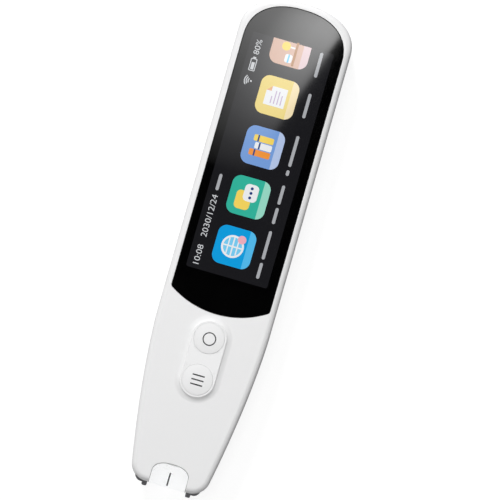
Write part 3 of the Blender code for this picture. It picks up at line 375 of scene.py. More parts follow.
def link_mesh(name, builder, material=None, outward=True):
    if outward:
        bmesh.ops.recalc_face_normals(builder, faces=builder.faces)
    mesh = bpy.data.meshes.new(name)
    builder.to_mesh(mesh)
    builder.free()
    made = bpy.data.objects.new(name, mesh)
    scene.collection.objects.link(made)
    if material:
        mesh.materials.append(material)
    return made


def remove(made):
    mesh = made.data
    bpy.data.objects.remove(made, do_unlink=True)
    bpy.data.meshes.remove(mesh)


def settle(made):
    """Turns the piece's modifiers into its mesh."""
    bpy.context.view_layer.update()
    graph = bpy.context.evaluated_depsgraph_get()
    done = made.evaluated_get(graph)
    mesh = bpy.data.meshes.new_from_object(done, preserve_all_data_layers=True, depsgraph=graph)
    old = made.data
    made.modifiers.clear()
    made.data = mesh
    bpy.data.meshes.remove(old)
    mesh.name = made.name
    return made


def carve(made, *cutters, operation="DIFFERENCE"):
    """Cuts each cutter out of the piece, or adds it with UNION, and removes the cutter."""
    for cutter in cutters:
        step = made.modifiers.new("carve", "BOOLEAN")
        step.operation = operation
        step.solver = "EXACT"
        step.object = cutter
        settle(made)
        remove(cutter)
    return made


# The weighting by face area only works on large faces, so it is done on an enlarged mesh.
LARGE = 1000
MERGE_WITHIN = 0.000003
SLIVER = 0.000002


def smooth(made, angle):
    """Smooth shading, crisp where faces meet at more than the angle, without the cuts' slivers."""
    mesh = made.data
    builder = bmesh.new()
    builder.from_mesh(mesh)
    bmesh.ops.remove_doubles(builder, verts=builder.verts, dist=MERGE_WITHIN)
    bmesh.ops.dissolve_degenerate(builder, edges=builder.edges, dist=SLIVER)
    builder.to_mesh(mesh)
    builder.free()
    mesh.transform(Matrix.Scale(LARGE, 4))
    mesh.polygons.foreach_set("use_smooth", [True] * len(mesh.polygons))
    mesh.set_sharp_from_angle(angle=math.radians(angle))
    step = made.modifiers.new("normals", "WEIGHTED_NORMAL")
    step.mode = "FACE_AREA"
    step.weight = 50
    step.keep_sharp = True
    settle(made)
    made.data.transform(Matrix.Scale(1 / LARGE, 4))
    return made


def finish_piece(made, body, slot, *nodes):
    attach(made, body)
    if nodes:
        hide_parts(*nodes)


def finish_smooth(made, angle, body, slot, node_name):
    """Finishes a piece with smooth shading and its slot's own material."""
    made.data.materials.clear()
    made.data.materials.append(PAINTS[slot])
    finish_piece(smooth(made, angle), body, slot, node_name)


def add_band(builder, rings, closed=False):
    """Faces between neighbouring rings of points, and from the last to the first if closed."""
    loops = [[builder.verts.new(point) for point in ring] for ring in rings]
    count = len(loops[0])
    for lower, upper in zip(loops, loops[1:] + (loops[:1] if closed else [])):
        for here in range(count):
            after = (here + 1) % count
            builder.faces.new((lower[here], lower[after], upper[after], upper[here]))
    return loops


def add_solid(builder, rings, closed=False):
    """A band with a face over each end, or one that closes on itself."""
    loops = add_band(builder, rings, closed)
    if not closed:
        builder.faces.new(loops[0][::-1])
        builder.faces.new(loops[-1])


def stack(name, rings, material=None, closed=False):
    builder = bmesh.new()
    add_solid(builder, rings, closed)
    return link_mesh(name, builder, material)


def rings_at(outline_at, levels):
    """The rings that an outline gives at each (grow, z)."""
    return [[(x, y, z) for x, y in outline_at(grow)] for grow, z in levels]


def slab(outline, low, high):
    """The two rings of a flat solid."""
    return [[(x, y, z) for x, y in outline] for z in (low, high)]


def prism(name, outline, low, high, material=None):
    return stack(name, slab(outline, low, high), material)


def rectangle(low, high):
    return [(low[0], low[1]), (high[0], low[1]), (high[0], high[1]), (low[0], high[1])]


def box(name, low, high):
    return prism(name, rectangle(low, high), low[2], high[2])


def rounded_block(name, low, high, edge, segments):
    builder = bmesh.new()
    bmesh.ops.create_cube(builder, size=1)
    low, high = Vector(low), Vector(high)
    bmesh.ops.scale(builder, vec=high - low, verts=builder.verts)
    bmesh.ops.translate(builder, vec=(low + high) / 2, verts=builder.verts)
    bmesh.ops.bevel(
        builder, geom=builder.edges[:], offset=edge, segments=segments, profile=0.5, affect="EDGES"
    )
    return link_mesh(name, builder)


def turned(name, profile, centre, axis="Z", steps=96):
    builder = bmesh.new()
    add_turned(builder, profile, centre, axis, steps)
    return link_mesh(name, builder)


def add_turned(builder, profile, centre, axis, steps):
    """Turns a profile of (radius, along) points; one off the axis at both ends makes a ring."""
    turns = {"X": Matrix.Rotation(math.pi / 2, 4, "Y"), "Z": Matrix()}
    to_place = Matrix.Translation(Vector(centre)) @ turns[axis]
    loops = []
    for radius, along in profile:
        count = steps if radius else 1
        angles = [2 * math.pi * step / count for step in range(count)]
        points = [Vector((radius * math.cos(a), radius * math.sin(a), along)) for a in angles]
        loops.append([builder.verts.new(to_place @ point) for point in points])
    pairs = list(zip(loops, loops[1:]))
    if profile[0][0] and profile[-1][0]:
        pairs.append((loops[-1], loops[0]))
    for lower, upper in pairs:
        for here in range(steps):
            after = (here + 1) % steps
            corners = [lower[here % len(lower)], lower[after % len(lower)]]
            corners += [upper[after % len(upper)], upper[here % len(upper)]]
            face = list(dict.fromkeys(corners))
            if len(face) > 2:
                builder.faces.new(face)


def quarter(steps):
    """The sine and cosine of equal steps through a right angle."""
    angles = [math.pi / 2 * step / steps for step in range(steps + 1)]
    return [(math.sin(angle), math.cos(angle)) for angle in angles]


def arc_points(centre, radius, start, end, steps):
    """Points of an arc whose ends are given in degrees."""
    points = []
    for step in range(steps + 1):
        angle = math.radians(start + (end - start) * step / steps)
        points.append((centre[0] + radius * math.cos(angle), centre[1] + radius * math.sin(angle)))
    return points


def circle(centre, radius, steps=40):
    return arc_points(centre, radius, 0, 360, steps)[:-1]


def pill(half_width, half_length, centre_y, steps=40):
    straight = half_length - half_width
    points = arc_points((0, centre_y + straight), half_width, 0, 180, steps)
    return points + arc_points((0, centre_y - straight), half_width, 180, 360, steps)


def round_rect(centre, size, corner, steps=10):
    half_x, half_y = size[0] / 2, size[1] / 2
    corner = min(corner, half_x, half_y)
    points = []
    for side, end, start in ((1, 1, 0), (-1, 1, 90), (-1, -1, 180), (1, -1, 270)):
        middle = (centre[0] + side * (half_x - corner), centre[1] + end * (half_y - corner))
        points += arc_points(middle, corner, start, start + 90, steps)
    return points


def flared(name, outline_at, low, top, flare):
    """A cutter whose mouth opens out by a small round, so the edge it leaves is soft."""
    mouth = [(flare * (1 - cos), top - flare * (1 - sin)) for sin, cos in quarter(5)]
    return stack(name, rings_at(outline_at, [(0.0, low), *mouth, (flare, top + OVER)]))


def rounded_prism(name, outline_at, low, top, edge):
    """A prism whose upper edge is rounded over."""
    rim = [(-edge * (1 - cos), top - edge * (1 - sin)) for sin, cos in quarter(4)]
    return stack(name, rings_at(outline_at, [(0.0, low), *rim]))


# The pen's outer form

TOP_STEPS, TAPER_STEPS, CORNER_STEPS = 48, 44, 16


def taper_run(y):
    return max(0.0, TAPER_START - y) / TAPER_LENGTH


def taper_in(y):
    return TAPER_IN * taper_run(y) ** TAPER_POWER


def lifted(y, z):
    """Height of a point after the back's rise towards the nose."""
    share = max(0.0, 1 - z / SEAM_HEIGHT)
    return z + NOSE_RISE * taper_run(y) ** RISE_POWER * share


def top_arc(half_width, top_y, arc):
    """The right half of the round top end, from its middle to the straight side."""
    power = 2 / TOP_SQUARENESS
    return [
        (half_width * sin ** power, top_y - arc * (1 - max(0.0, cos) ** power))
        for sin, cos in quarter(TOP_STEPS)
    ]


def plan(inset, end_y, corner):
    """The pen's outline from above, from the top end round the taper to the nose corners."""
    half = PEN_WIDTH / 2 - inset
    right = top_arc(half, TOP_Y - inset, TOP_ARC - inset)
    corner_y, lean = end_y + corner, 0.0
    for _ in range(6):
        slope = TAPER_IN / TAPER_LENGTH * TAPER_POWER * taper_run(corner_y) ** (TAPER_POWER - 1)
        lean = math.atan(slope)
        corner_y = end_y + corner * (1 - math.sin(lean))
    for step in range(TAPER_STEPS):
        y = TAPER_START + (corner_y - TAPER_START) * step / TAPER_STEPS
        right.append((half - taper_in(y), y))
    centre_x = half - taper_in(corner_y) - corner * math.cos(lean)
    for step in range(CORNER_STEPS + 1):
        angle = lean + (math.pi / 2 - lean) * step / CORNER_STEPS
        right.append((centre_x + corner * math.cos(angle), end_y + corner * (1 - math.sin(angle))))
    return right + [(-x, y) for x, y in reversed(right[1:])]


def full_levels(inset, back_steps=18, front_steps=9):
    """Heights of the form with how far each lies further inside, from the back to the front."""
    back = BACK_EDGE - inset
    front = max(FRONT_EDGE - inset, 0.0)
    top = BODY_THICKNESS - inset
    levels = [(inset + back * (1 - cos), back * (1 - sin)) for sin, cos in quarter(back_steps)]
    turns = quarter(front_steps) if front else [(0.0, 1.0)]
    return levels + [(top - front * (1 - sin), front * (1 - cos)) for sin, cos in turns]


def pen_form(name, inset, end_y, corner, levels):
    builder = bmesh.new()
    rings = []
    for z, more in levels:
        outline = plan(inset + more, end_y + more, max(corner - more, GAP))
        rings.append([(x, y, lifted(y, z)) for x, y in outline])
    loops = add_band(builder, rings)
    count = len(loops[0])
    for loop in (loops[0], loops[-1]):
        builder.faces.new((loop[0], loop[1], loop[-1]))
        for here in range(1, count // 2):
            builder.faces.new((loop[here], loop[here + 1], loop[-here - 1], loop[-here]))
    bmesh.ops.triangulate(builder, faces=builder.faces)
    return link_mesh(name, builder)


def scoop(name, end_y, depth, power=SCOOP_POWER):
    """The cutter that slants the nose's underside."""
    edge, steps = [], 40
    for step in range(steps + 1):
        down = (SEAM_HEIGHT + OVER) * step / steps
        edge.append((end_y + depth * (down / SCOOP_REACH) ** power, SEAM_HEIGHT - down))
    far = TIP_Y - OVER
    outline = edge + [(far, edge[-1][1]), (far, SEAM_HEIGHT)]
    return stack(name, [[(x, y, z) for y, z in outline] for x in (-PEN_WIDTH / 2, PEN_WIDTH / 2)])


def sight_outline(grow, foot_y, arch=SIGHT_ARCH):
    """The clear window's arch, made larger by this much."""
    half_width, top_y = SIGHT_WIDTH / 2 + grow, SHELL_END + SIGHT_LENGTH + grow
    power, steps = 2 / SIGHT_SQUARENESS, 64
    points = [(half_width, foot_y)]
    for step in range(steps + 1):
        angle = math.pi * step / steps
        side = math.copysign(abs(math.cos(angle)) ** power, math.cos(angle))
        points.append((half_width * side, top_y - arch * (1 - abs(math.sin(angle)) ** power)))
    return points + [(-half_width, foot_y)]


def glass_outline(grow):
    """The cover glass from above, made larger by this much: a round top end and a curved foot."""
    half = PEN_WIDTH / 2 - GLASS_RIM + grow
    foot_radius = GLASS_FOOT_RADIUS + grow
    middle = GLASS_FOOT + GLASS_FOOT_RADIUS
    corner = GLASS_CORNER + grow
    right = top_arc(half, TOP_Y - GLASS_RIM + grow, GLASS_TOP_ARC + grow)
    corner_x = half - corner
    corner_y = middle - math.sqrt((foot_radius - corner) ** 2 - corner_x ** 2)
    last = math.degrees(math.atan2(middle - corner_y, corner_x))
    right += arc_points((corner_x, corner_y), corner, 0, -last, 12)
    right += arc_points((0, middle), foot_radius, -last, -90, 24)[1:]
    return right + [(-x, y) for x, y in reversed(right[1:-1])]


def island_outline(grow):
    return pill(ISLAND_WIDTH / 2 + grow, ISLAND_LENGTH / 2 + grow, ISLAND_Y)


# Shells

def seam_levels(side):
    """The soft edge that each shell has at the seam: side is 1 above it and -1 below it."""
    return [
        (SEAM_HEIGHT + side * (SEAM_LINE + SEAM_ROUND * (1 - cos)), SEAM_ROUND * (1 - sin))
        for sin, cos in quarter(3)
    ]


def nose_cavity(name):
    levels = full_levels(SHELL_WALL, 8, 3)
    return pen_form(name, SHELL_WALL, LINER_END - SLIDE_GAP, LINER_CORNER + SLIDE_GAP, levels)


def island_collar():
    """The case swells softly up to the key island all round it."""
    levels = [(COLLAR_GAP, COLLAR_BASE), (COLLAR_GAP + COLLAR_REACH, COLLAR_BASE)]
    for step in range(11):
        share = 1 - step / 10
        up = COLLAR_RISE * (1 - share) ** COLLAR_POWER
        levels.append((COLLAR_GAP + COLLAR_REACH * share, COLLAR_RIM + up))
    return stack("island collar", rings_at(island_outline, levels), closed=True)


def make_front_shell():
    upper = [level for level in full_levels(0.0) if level[0] > SEAM_HEIGHT + 2 * SEAM_ROUND]
    shell = pen_form("front_case", 0.0, SHELL_END, NOSE_CORNER, seam_levels(1) + upper)
    wide = PEN_WIDTH
    screen_end = ISLAND_Y + ISLAND_LENGTH / 2 + FLANGE_WIDTH + GAP
    cavity = nose_cavity("front cavity")
    carve(cavity, box("screen seat", (-wide, screen_end, -OVER), (wide, TOP_Y + OVER, BODY_THICKNESS)))
    carve(
        shell,
        cavity,
        flared(
            "glass pocket", lambda grow: glass_outline(GLASS_FIT + grow), GLASS_SEAT, BODY_THICKNESS,
            GLASS_FLARE
        ),
        box("display opening", (*DISPLAY_LOW, 0), (*DISPLAY_HIGH, GLASS_SEAT + GAP)),
        prism("island opening", island_outline(SLIDE_GAP), SEAM_HEIGHT, BODY_THICKNESS + OVER),
        flared(
            "sight opening", lambda grow: sight_outline(grow, TIP_Y - OVER, SIGHT_ARCH + grow),
            SEAM_HEIGHT - OVER, BODY_THICKNESS, SIGHT_FLARE
        ),
    )
    carve(shell, island_collar(), operation="UNION")
    finish_smooth(shell, 32, "casing", "white_plastic", "front_shell")


def socket_ring(grow, y):
    outline = pill(SOCKET_THICKNESS / 2 + grow, SOCKET_WIDTH / 2 + grow, 0.0, 24)
    return [(across, y, up + SOCKET_HEIGHT) for up, across in outline]


def make_rear_shell():
    lower = [level for level in full_levels(0.0) if level[0] < SEAM_HEIGHT - 2 * SEAM_ROUND]
    shell = pen_form("rear_case", 0.0, SHELL_END, NOSE_CORNER, lower + seam_levels(-1)[::-1])
    carve(shell, nose_cavity("rear cavity"))
    side = PEN_WIDTH / 2 - BOSS_FROM_SIDE
    boss = [(0, INNER_FLOOR), (BOSS_RADIUS, INNER_FLOOR), (BOSS_RADIUS, BOSS_TOP)]
    boss += [(BORE_RADIUS, BOSS_TOP), (BORE_RADIUS, BORE_FLOOR), (0, BORE_FLOOR)]
    for y in BOSS_PLACES_Y:
        for x in (-side, side):
            carve(shell, turned("boss", boss, (x, y, 0), steps=24), operation="UNION")
    inner = SPEAKER_RADIUS + GAP
    ring = rectangle((inner, INNER_FLOOR), (inner + SPEAKER_WALL, SPEAKER_RING_TOP))
    carve(shell, turned("speaker ring", ring, (0, SPEAKER_Y, 0), steps=64), operation="UNION")
    port = stack("port", [socket_ring(PORT_FIT, y) for y in (TOP_Y - PORT_DEPTH, TOP_Y + OVER)])
    pin = rectangle((0, -OVER), (PINHOLE_RADIUS, OVER))
    pinhole = turned("pinhole", pin, PINHOLE, "X", steps=24)
    carve(shell, scoop("scoop", SHELL_END, SCOOP_DEPTH), port, pinhole)
    mouth, part = HOLE_RADIUS + HOLE_EDGE, HOLE_EDGE * ROUND_MIDDLE
    hole = [(0, -OVER), (mouth, -OVER), (mouth, 0.0), (HOLE_RADIUS + part, part)]
    hole += [(HOLE_RADIUS, HOLE_EDGE), (HOLE_RADIUS, HOLE_DEPTH), (0, HOLE_DEPTH)]
    builder = bmesh.new()
    for count, radius in GRILLE_RINGS:
        for x, y in circle((0.0, SPEAKER_Y), radius, count):
            add_turned(builder, hole, (x, y, 0), "Z", 24)
    carve(shell, link_mesh("grille holes", builder))
    finish_smooth(shell, 32, "casing", "white_plastic", "rear_shell")


# Glass and screen. The screen reads along the pen: towards the socket end, with its top to -X.

LAYER = 0.00002
SCREEN_LEFT, SCREEN_RIGHT = -12.6 * MM, 12.3 * MM
SCREEN_CORNER = 0.6 * MM
TILE_X = -0.4 * MM
MOTIF_X = TILE_X - 0.5 * MM
TILE_SIZE = 11.6 * MM
TILE_CORNER = 2.6 * MM
TILE_BAND = 3.5 * MM
LABEL_X, STATUS_X = 8.75 * MM, -10.0 * MM
BAR_HEIGHT = 0.95 * MM
BAR_SPACE = 0.45
WORD_LAYER = 2
TEXT_MERGE_WITHIN = 0.00001

# Name, distance from the top end in millimetres, colour, and colour of the band
TILES = (
    ("blue", 74.9, (16, 158, 224), (84, 188, 238)),
    ("teal", 59.6, (52, 180, 156), (152, 218, 198)),
    ("violet", 44.3, (118, 158, 218), (180, 198, 232)),
    ("yellow", 28.9, (236, 214, 128), (244, 226, 182)),
    ("coral", 13.5, (212, 176, 158), (222, 198, 202)),
)
# Where each label starts and ends, and how long its words are beside each other
LABELS = (
    (67.4, 82.0, (2.0, 3.6)), (53.4, 65.2, (2.1, 2.5)), (38.2, 50.4, (0.7, 3.9)),
    (25.2, 32.7, (3.0,)), (12.6, 20.2, (3.0,)),
)
DAY = (55.2, 60.2, (1.0,))
# Name, text, where it starts and ends, and the figures' height, in millimetres
FIGURES = (
    ("clock", "10:08", 76.9, 82.7, 1.75), ("date", "2030/12/24", 61.6, 74.4, 1.8),
    ("charge", "80%", 13.9, 18.4, 1.7),
)
SCREEN_COLOURS = {
    "pale": (205, 207, 210), "soft": (172, 174, 178), "white": (238, 240, 242),
    "orange": (243, 150, 62), "pink": (243, 176, 190), "straw": (246, 214, 96),
    "navy": (38, 66, 128), "sky": (120, 205, 244), "peach": (232, 176, 128),
    "lilac": (196, 176, 206), "tan": (178, 132, 92),
}


def at(s):
    """The place along the pen of a point this many millimetres from its top end."""
    return TOP_Y - s * MM


SCREEN_TOP, SCREEN_FOOT = at(12.1), at(84.1)


def make_glass():
    glass = rounded_prism("cover_glass_pane", glass_outline, GLASS_UNDERSIDE, BODY_THICKNESS, GLASS_EDGE)
    finish_smooth(glass, 32, "casing", "screen_glass", "cover_glass")


def layer_heights(layer):
    return BODY_THICKNESS + (layer - 1) * LAYER, BODY_THICKNESS + layer * LAYER


def line_sides(line, width, closed=False):
    """The left and right side of a line of this width through points."""
    sides, last = [], len(line) - 1
    for here, point in enumerate(line):
        before = line[here - 1] if closed or here > 0 else point
        after = line[(here + 1) % len(line)] if closed or here < last else point
        run = (Vector(after) - Vector(before)).normalized()
        across = Vector((-run.y, run.x)) * width / 2
        sides.append((Vector(point) + across, Vector(point) - across))
    return sides


def stroke(points, width):
    """The outline of a line of this width through points, with square ends."""
    left, right = zip(*line_sides(points, width))
    return [tuple(place) for place in left + right[::-1]]


def keep_below(outline, limit):
    """The part of an outline whose y is below the limit."""
    kept = []
    for here, point in enumerate(outline):
        before = outline[here - 1]
        if (point[1] <= limit) != (before[1] <= limit):
            share = (limit - before[1]) / (point[1] - before[1])
            kept.append((before[0] + (point[0] - before[0]) * share, limit))
        if point[1] <= limit:
            kept.append(point)
    return kept


def inlays(name, shapes, material, layer):
    """Flat shapes of one colour, each a thin closed slab on the layer below."""
    builder = bmesh.new()
    for outline in shapes:
        add_solid(builder, slab(outline, *layer_heights(layer)))
    finish_piece(link_mesh(name, builder, material), "casing", "display")


def figures(name, text, start_s, end_s, height, material):
    """Figures reading towards +Y with their tops towards -X, fitted between two places."""
    curve = bpy.data.curves.new(name, "FONT")
    curve.body = text
    curve.resolution_u = 4
    text_object = bpy.data.objects.new(name, curve)
    scene.collection.objects.link(text_object)
    bpy.context.view_layer.update()
    graph = bpy.context.evaluated_depsgraph_get()
    flat = bpy.data.meshes.new_from_object(text_object.evaluated_get(graph))
    bpy.data.objects.remove(text_object, do_unlink=True)
    bpy.data.curves.remove(curve)
    builder = bmesh.new()
    builder.from_mesh(flat)
    bpy.data.meshes.remove(flat)
    bmesh.ops.remove_doubles(builder, verts=builder.verts, dist=TEXT_MERGE_WITHIN)
    across = [vert.co.x for vert in builder.verts]
    up = [vert.co.y for vert in builder.verts]
    along_scale = (end_s - start_s) * MM / (max(across) - min(across))
    up_scale = height / (max(up) - min(up))
    middle = (max(up) + min(up)) / 2
    left = min(across)
    low, high = layer_heights(WORD_LAYER)
    for vert in builder.verts:
        run, rise, _ = vert.co
        vert.co = (STATUS_X - (rise - middle) * up_scale, at(end_s) + (run - left) * along_scale, high)
    grown = bmesh.ops.extrude_face_region(builder, geom=builder.faces[:])
    for part in grown["geom"]:
        if isinstance(part, bmesh.types.BMVert):
            part.co.z = low
    finish_piece(link_mesh(name, builder, material), "casing", "display")


def word_bars(x, start_s, end_s, parts):
    """Plain rounded bars where the real screen has words, between two places along the pen."""
    shapes = []
    scale = (end_s - start_s) / (sum(parts) + BAR_SPACE * (len(parts) - 1))
    s = end_s
    for part in parts:
        length = part * scale
        size = (BAR_HEIGHT, length * MM)
        shapes.append(round_rect((x, at(s - length / 2)), size, BAR_HEIGHT / 2, 6))
        s -= length + BAR_SPACE * scale
    return shapes


def spot(s, x, y):
    """A place in millimetres from the middle of the motif at s, as are the sizes of bars and dots."""
    return MOTIF_X + x * MM, at(s) + y * MM


def bar(s, x, y, width, length, corner):
    return round_rect(spot(s, x, y), (width * MM, length * MM), corner * MM)


def dot(s, x, y, radius, steps=40):
    return circle(spot(s, x, y), radius * MM, steps)


def motifs():
    """The pictures on the tiles, as (name, layer, colour, shapes)."""
    s = 74.9
    yield "globe", 4, "white", [dot(s, 0, 0, 3.4)]
    yield "globe_sea", 5, "sky", [dot(s, 0, 0, 2.8)]
    crossed = [bar(s, 0, 0, 5.6, 0.42, 0.1), bar(s, 0, 0, 0.42, 5.6, 0.1)]
    yield "globe_rings", 6, "white", crossed + [bar(s, x, 0, 0.36, 4.8, 0.1) for x in (-1.4, 1.4)]
    yield "globe_pin", 7, "pink", [dot(s, 2.2, 2.6, 1.25)]
    s = 59.6
    yield "talk_back", 4, "straw", [bar(s, -0.9, -1.2, 4.6, 5.6, 1.3)]
    yield "talk_front", 5, "white", [bar(s, 0.9, 1.3, 4.2, 5.2, 1.3)]
    yield "talk_dots", 6, "navy", [dot(s, 0.9, 1.3 + step, 0.45, 16) for step in (-1.4, 0, 1.4)]
    s = 44.3
    yield "book_tall", 4, "orange", [bar(s, 0, -2.1, 6.4, 1.9, 0.4)]
    yield "book_low", 4, "white", [bar(s, 0.6, 0.1, 5.2, 1.9, 0.4)]
    yield "book_end", 4, "straw", [bar(s, 0.2, 2.3, 6.0, 1.9, 0.4)]
    marks = ((-1.6, -2.1), (-0.6, 0.1), (-1.4, 2.3))
    yield "book_marks", 5, "navy", [bar(s, x, y, 0.5, 1.9, 0.1) for x, y in marks]
    s = 28.9
    page = ((3.1, -2.9), (3.1, 2.9), (-1.6, 2.9), (-3.1, 1.4), (-3.1, -2.9))
    fold = ((-1.6, 2.9), (-3.1, 1.4), (-1.6, 1.4))
    yield "sheet", 4, "white", [[spot(s, x, y) for x, y in page]]
    yield "sheet_fold", 5, "peach", [[spot(s, x, y) for x, y in fold]]
    lines = ((-1.5, 2.2), (-0.5, 4.0), (0.5, 4.0), (1.5, 3.0))
    yield "sheet_lines", 5, "lilac", [
        bar(s, x + 0.4, length / 2 - 2.2, 0.32, length, 0.15) for x, length in lines
    ]
    s = 15.3  # The edge of the screen cuts the lamp off
    yield "table", 4, "tan", [bar(s, 2.1, 0, 0.7, 7.2, 0.3)]
    yield "cup", 4, "white", [bar(s, 0.5, -1.7, 2.2, 2.5, 0.6)]
    yield "shade", 4, "straw", [keep_below(dot(s, -1.0, 1.7, 1.3), SCREEN_TOP)]
    yield "stem", 4, "white", [bar(s, 1.0, 1.7, 1.5, 0.5, 0.1)]
    yield "cup_band", 5, "sky", [bar(s, 0.5, -1.7, 0.5, 2.5, 0.1)]


def make_screen():
    dark = lit_surface("screen_dark", (27, 27, 30), share=0.55)
    paints = {word: lit_surface(f"screen_{word}", levels) for word, levels in SCREEN_COLOURS.items()}
    size = (SCREEN_RIGHT - SCREEN_LEFT, SCREEN_TOP - SCREEN_FOOT)
    centre = ((SCREEN_RIGHT + SCREEN_LEFT) / 2, (SCREEN_TOP + SCREEN_FOOT) / 2)
    inlays("screen_face", [round_rect(centre, size, SCREEN_CORNER)], dark, 1)
    for word, s, deep, light in TILES:
        name = f"tile_{word}"
        tile = round_rect((TILE_X, at(s)), (TILE_SIZE, TILE_SIZE), TILE_CORNER)
        band = [point for point in tile if point[0] >= TILE_X + TILE_BAND]
        inlays(name, [keep_below(tile, SCREEN_TOP)], lit_surface(name, deep), 2)
        name += "_band"
        inlays(name, [keep_below(band, SCREEN_TOP)], lit_surface(name, light), 3)
    for word, layer, colour, shapes in motifs():
        inlays(f"motif_{word}", shapes, paints[colour], layer)
    labels = [shape for label in LABELS for shape in word_bars(LABEL_X, *label)]
    inlays("screen_labels", labels, paints["soft"], WORD_LAYER)
    for word, text, start_s, end_s, height in FIGURES:
        figures(f"screen_{word}", text, start_s, end_s, height * MM, paints["pale"])
    inlays("screen_day", word_bars(STATUS_X, *DAY), paints["soft"], WORD_LAYER)
    make_status_icons(paints["pale"], dark)


def make_status_icons(pale, dark):
    """A wireless mark of arcs, and a battery outline with its fill."""
    centre = (-9.2 * MM, at(26.4))
    arcs = [circle(centre, 0.28 * MM, 14)]
    for radius in (0.85, 1.4, 1.95):
        arcs.append(stroke(arc_points(centre, radius * MM, 135, 225, 12), 0.3 * MM))
    inlays("screen_wireless", arcs, pale, 2)
    x, y = STATUS_X, at(21.6)
    case = round_rect((x, y), (1.9 * MM, 3.8 * MM), 0.35 * MM)
    cap = round_rect((x, y + 2.15 * MM), (0.9 * MM, 0.45 * MM), 0.1 * MM)
    inlays("screen_battery", [case, cap], pale, 2)
    inlays("screen_battery_hollow", [round_rect((x, y), (1.4 * MM, 3.3 * MM), 0.2 * MM)], dark, 3)
    fill = round_rect((x, y - 0.35 * MM), (0.95 * MM, 2.2 * MM), 0.12 * MM)
    inlays("screen_battery_fill", [fill], pale, 4)


# Keys

def make_island():
    levels = [
        (FLANGE_WIDTH, FLANGE_UNDERSIDE), (FLANGE_WIDTH, FLANGE_TOP), (0.0, FLANGE_TOP),
        (0.0, SWELL_LOW), (ISLAND_SWELL, SWELL_HIGH),
    ]
    for sin, cos in quarter(8):
        levels.append((ISLAND_SWELL - ISLAND_EDGE * (1 - cos), ISLAND_TOP - ISLAND_EDGE * (1 - sin)))
    island = stack("key_island", rings_at(island_outline, levels))
    low, high = FLANGE_UNDERSIDE - OVER, ISLAND_TOP + OVER
    shaft, pocket, mouth = STEM_RADIUS + SLIDE_GAP, POCKET_RADIUS, POCKET_RADIUS + POCKET_EDGE
    part = POCKET_EDGE * ROUND_MIDDLE
    shape = [(0, low), (shaft, low), (shaft, POCKET_FLOOR), (pocket, POCKET_FLOOR)]
    shape += [(pocket, ISLAND_TOP - POCKET_EDGE), (pocket + part, ISLAND_TOP - part)]
    shape += [(mouth, ISLAND_TOP), (mouth, high), (0, high)]
    for y in (HOME_Y, MENU_Y):
        carve(island, turned("key pocket", shape, (0, y, 0)))
    finish_smooth(island, 40, "casing", "key_plastic", "button_island")


def dome(radius):
    """Height of the key's top at this distance from its middle."""
    return KEY_TOP - KEY_SHY - KEY_DOME * (radius / KEY_RADIUS) ** 2


def make_key(word, y):
    top_steps, reach = 12, CAP_RADIUS - KEY_EDGE
    profile = [(0, STEM_END), (STEM_RADIUS, STEM_END), (STEM_RADIUS, CAP_UNDERSIDE)]
    profile.append((CAP_RADIUS, CAP_UNDERSIDE))
    profile += arc_points((reach, dome(CAP_RADIUS) - KEY_EDGE), KEY_EDGE, 0, 84, 6)
    for step in range(1, top_steps):
        radius = reach * (1 - step / top_steps)
        profile.append((radius, dome(radius)))
    profile.append((0, dome(0)))
    key = turned(f"{word}_key_cap", profile, (0, y, 0), steps=128)
    finish_smooth(key, 40, f"{word}_key", "key_plastic", f"{word}_button")


def printed_mark(name, y, lines, body, width, closed=False):
    """Printed lines that follow the key's dome; each line is a run of (x, y) points."""
    builder = bmesh.new()
    for line in lines:
        rings = []
        for left, right in line_sides(line, width, closed):
            corners = ((right, 0), (left, 0), (left, INK_DEPTH), (right, INK_DEPTH))
            rings.append([
                (edge.x, y + edge.y, dome(math.hypot(*edge)) - INK_SINK + lift) for edge, lift in corners
            ])
        add_solid(builder, rings, closed)
    finish_piece(link_mesh(name, builder, SYMBOL), body, "key_plastic")


def make_marks():
    ring = circle((0.1 * MM, -0.15 * MM), 1.86 * MM, 96)
    printed_mark("home_key_mark", HOME_Y, [ring], "home_key", 0.34 * MM, closed=True)
    lines = []
    for place in (-1.4, 0.0, 1.4):
        lines.append([((-1.8 + 3.7 * step / 12) * MM, place * MM) for step in range(13)])
    printed_mark("menu_key_mark", MENU_Y - 0.1 * MM, lines, "menu_key", 0.4 * MM)


# Scanning tip

def make_liner():
    levels = full_levels(LINER_INSET, 16, 5)
    liner = pen_form("tip_sleeve", LINER_INSET, LINER_END, LINER_CORNER, levels)
    wide = PEN_WIDTH
    carve(liner, box("behind", (-wide, LINER_REAR, -OVER), (wide, TOP_Y + OVER, BODY_THICKNESS + OVER)))
    inset, corner = LINER_INSET + LINER_WALL, LINER_CORNER - LINER_WALL
    carve(liner, pen_form("bore", inset, LINER_END + LINER_WALL, corner, full_levels(inset, 10, 2)))
    inside = SIGHT_WIDTH / 2 + GAP
    for side in (-1, 1):
        left, right = sorted((side * inside, side * (inside + FOOT_WIDTH)))
        high = (right, LINER_END + FOOT_LAP, BODY_THICKNESS - LINER_INSET - GAP)
        foot = rounded_block("foot", (left, TIP_Y, LEG_LOW), high, FOOT_EDGE, 4)
        carve(liner, foot, operation="UNION")
    carve(liner, scoop("liner scoop", TIP_Y, LINER_SCOOP_DEPTH, LINER_SCOOP_POWER))
    slot_end = SHELL_END + SIGHT_LENGTH + SIGHT_TONGUE + GAP
    carve(liner, box("sight slot", (-inside, TIP_Y - OVER, LEG_LOW), (inside, slot_end, BODY_THICKNESS)))
    finish_smooth(liner, 35, "scanning_tip", "liner_plastic", "tip_liner")


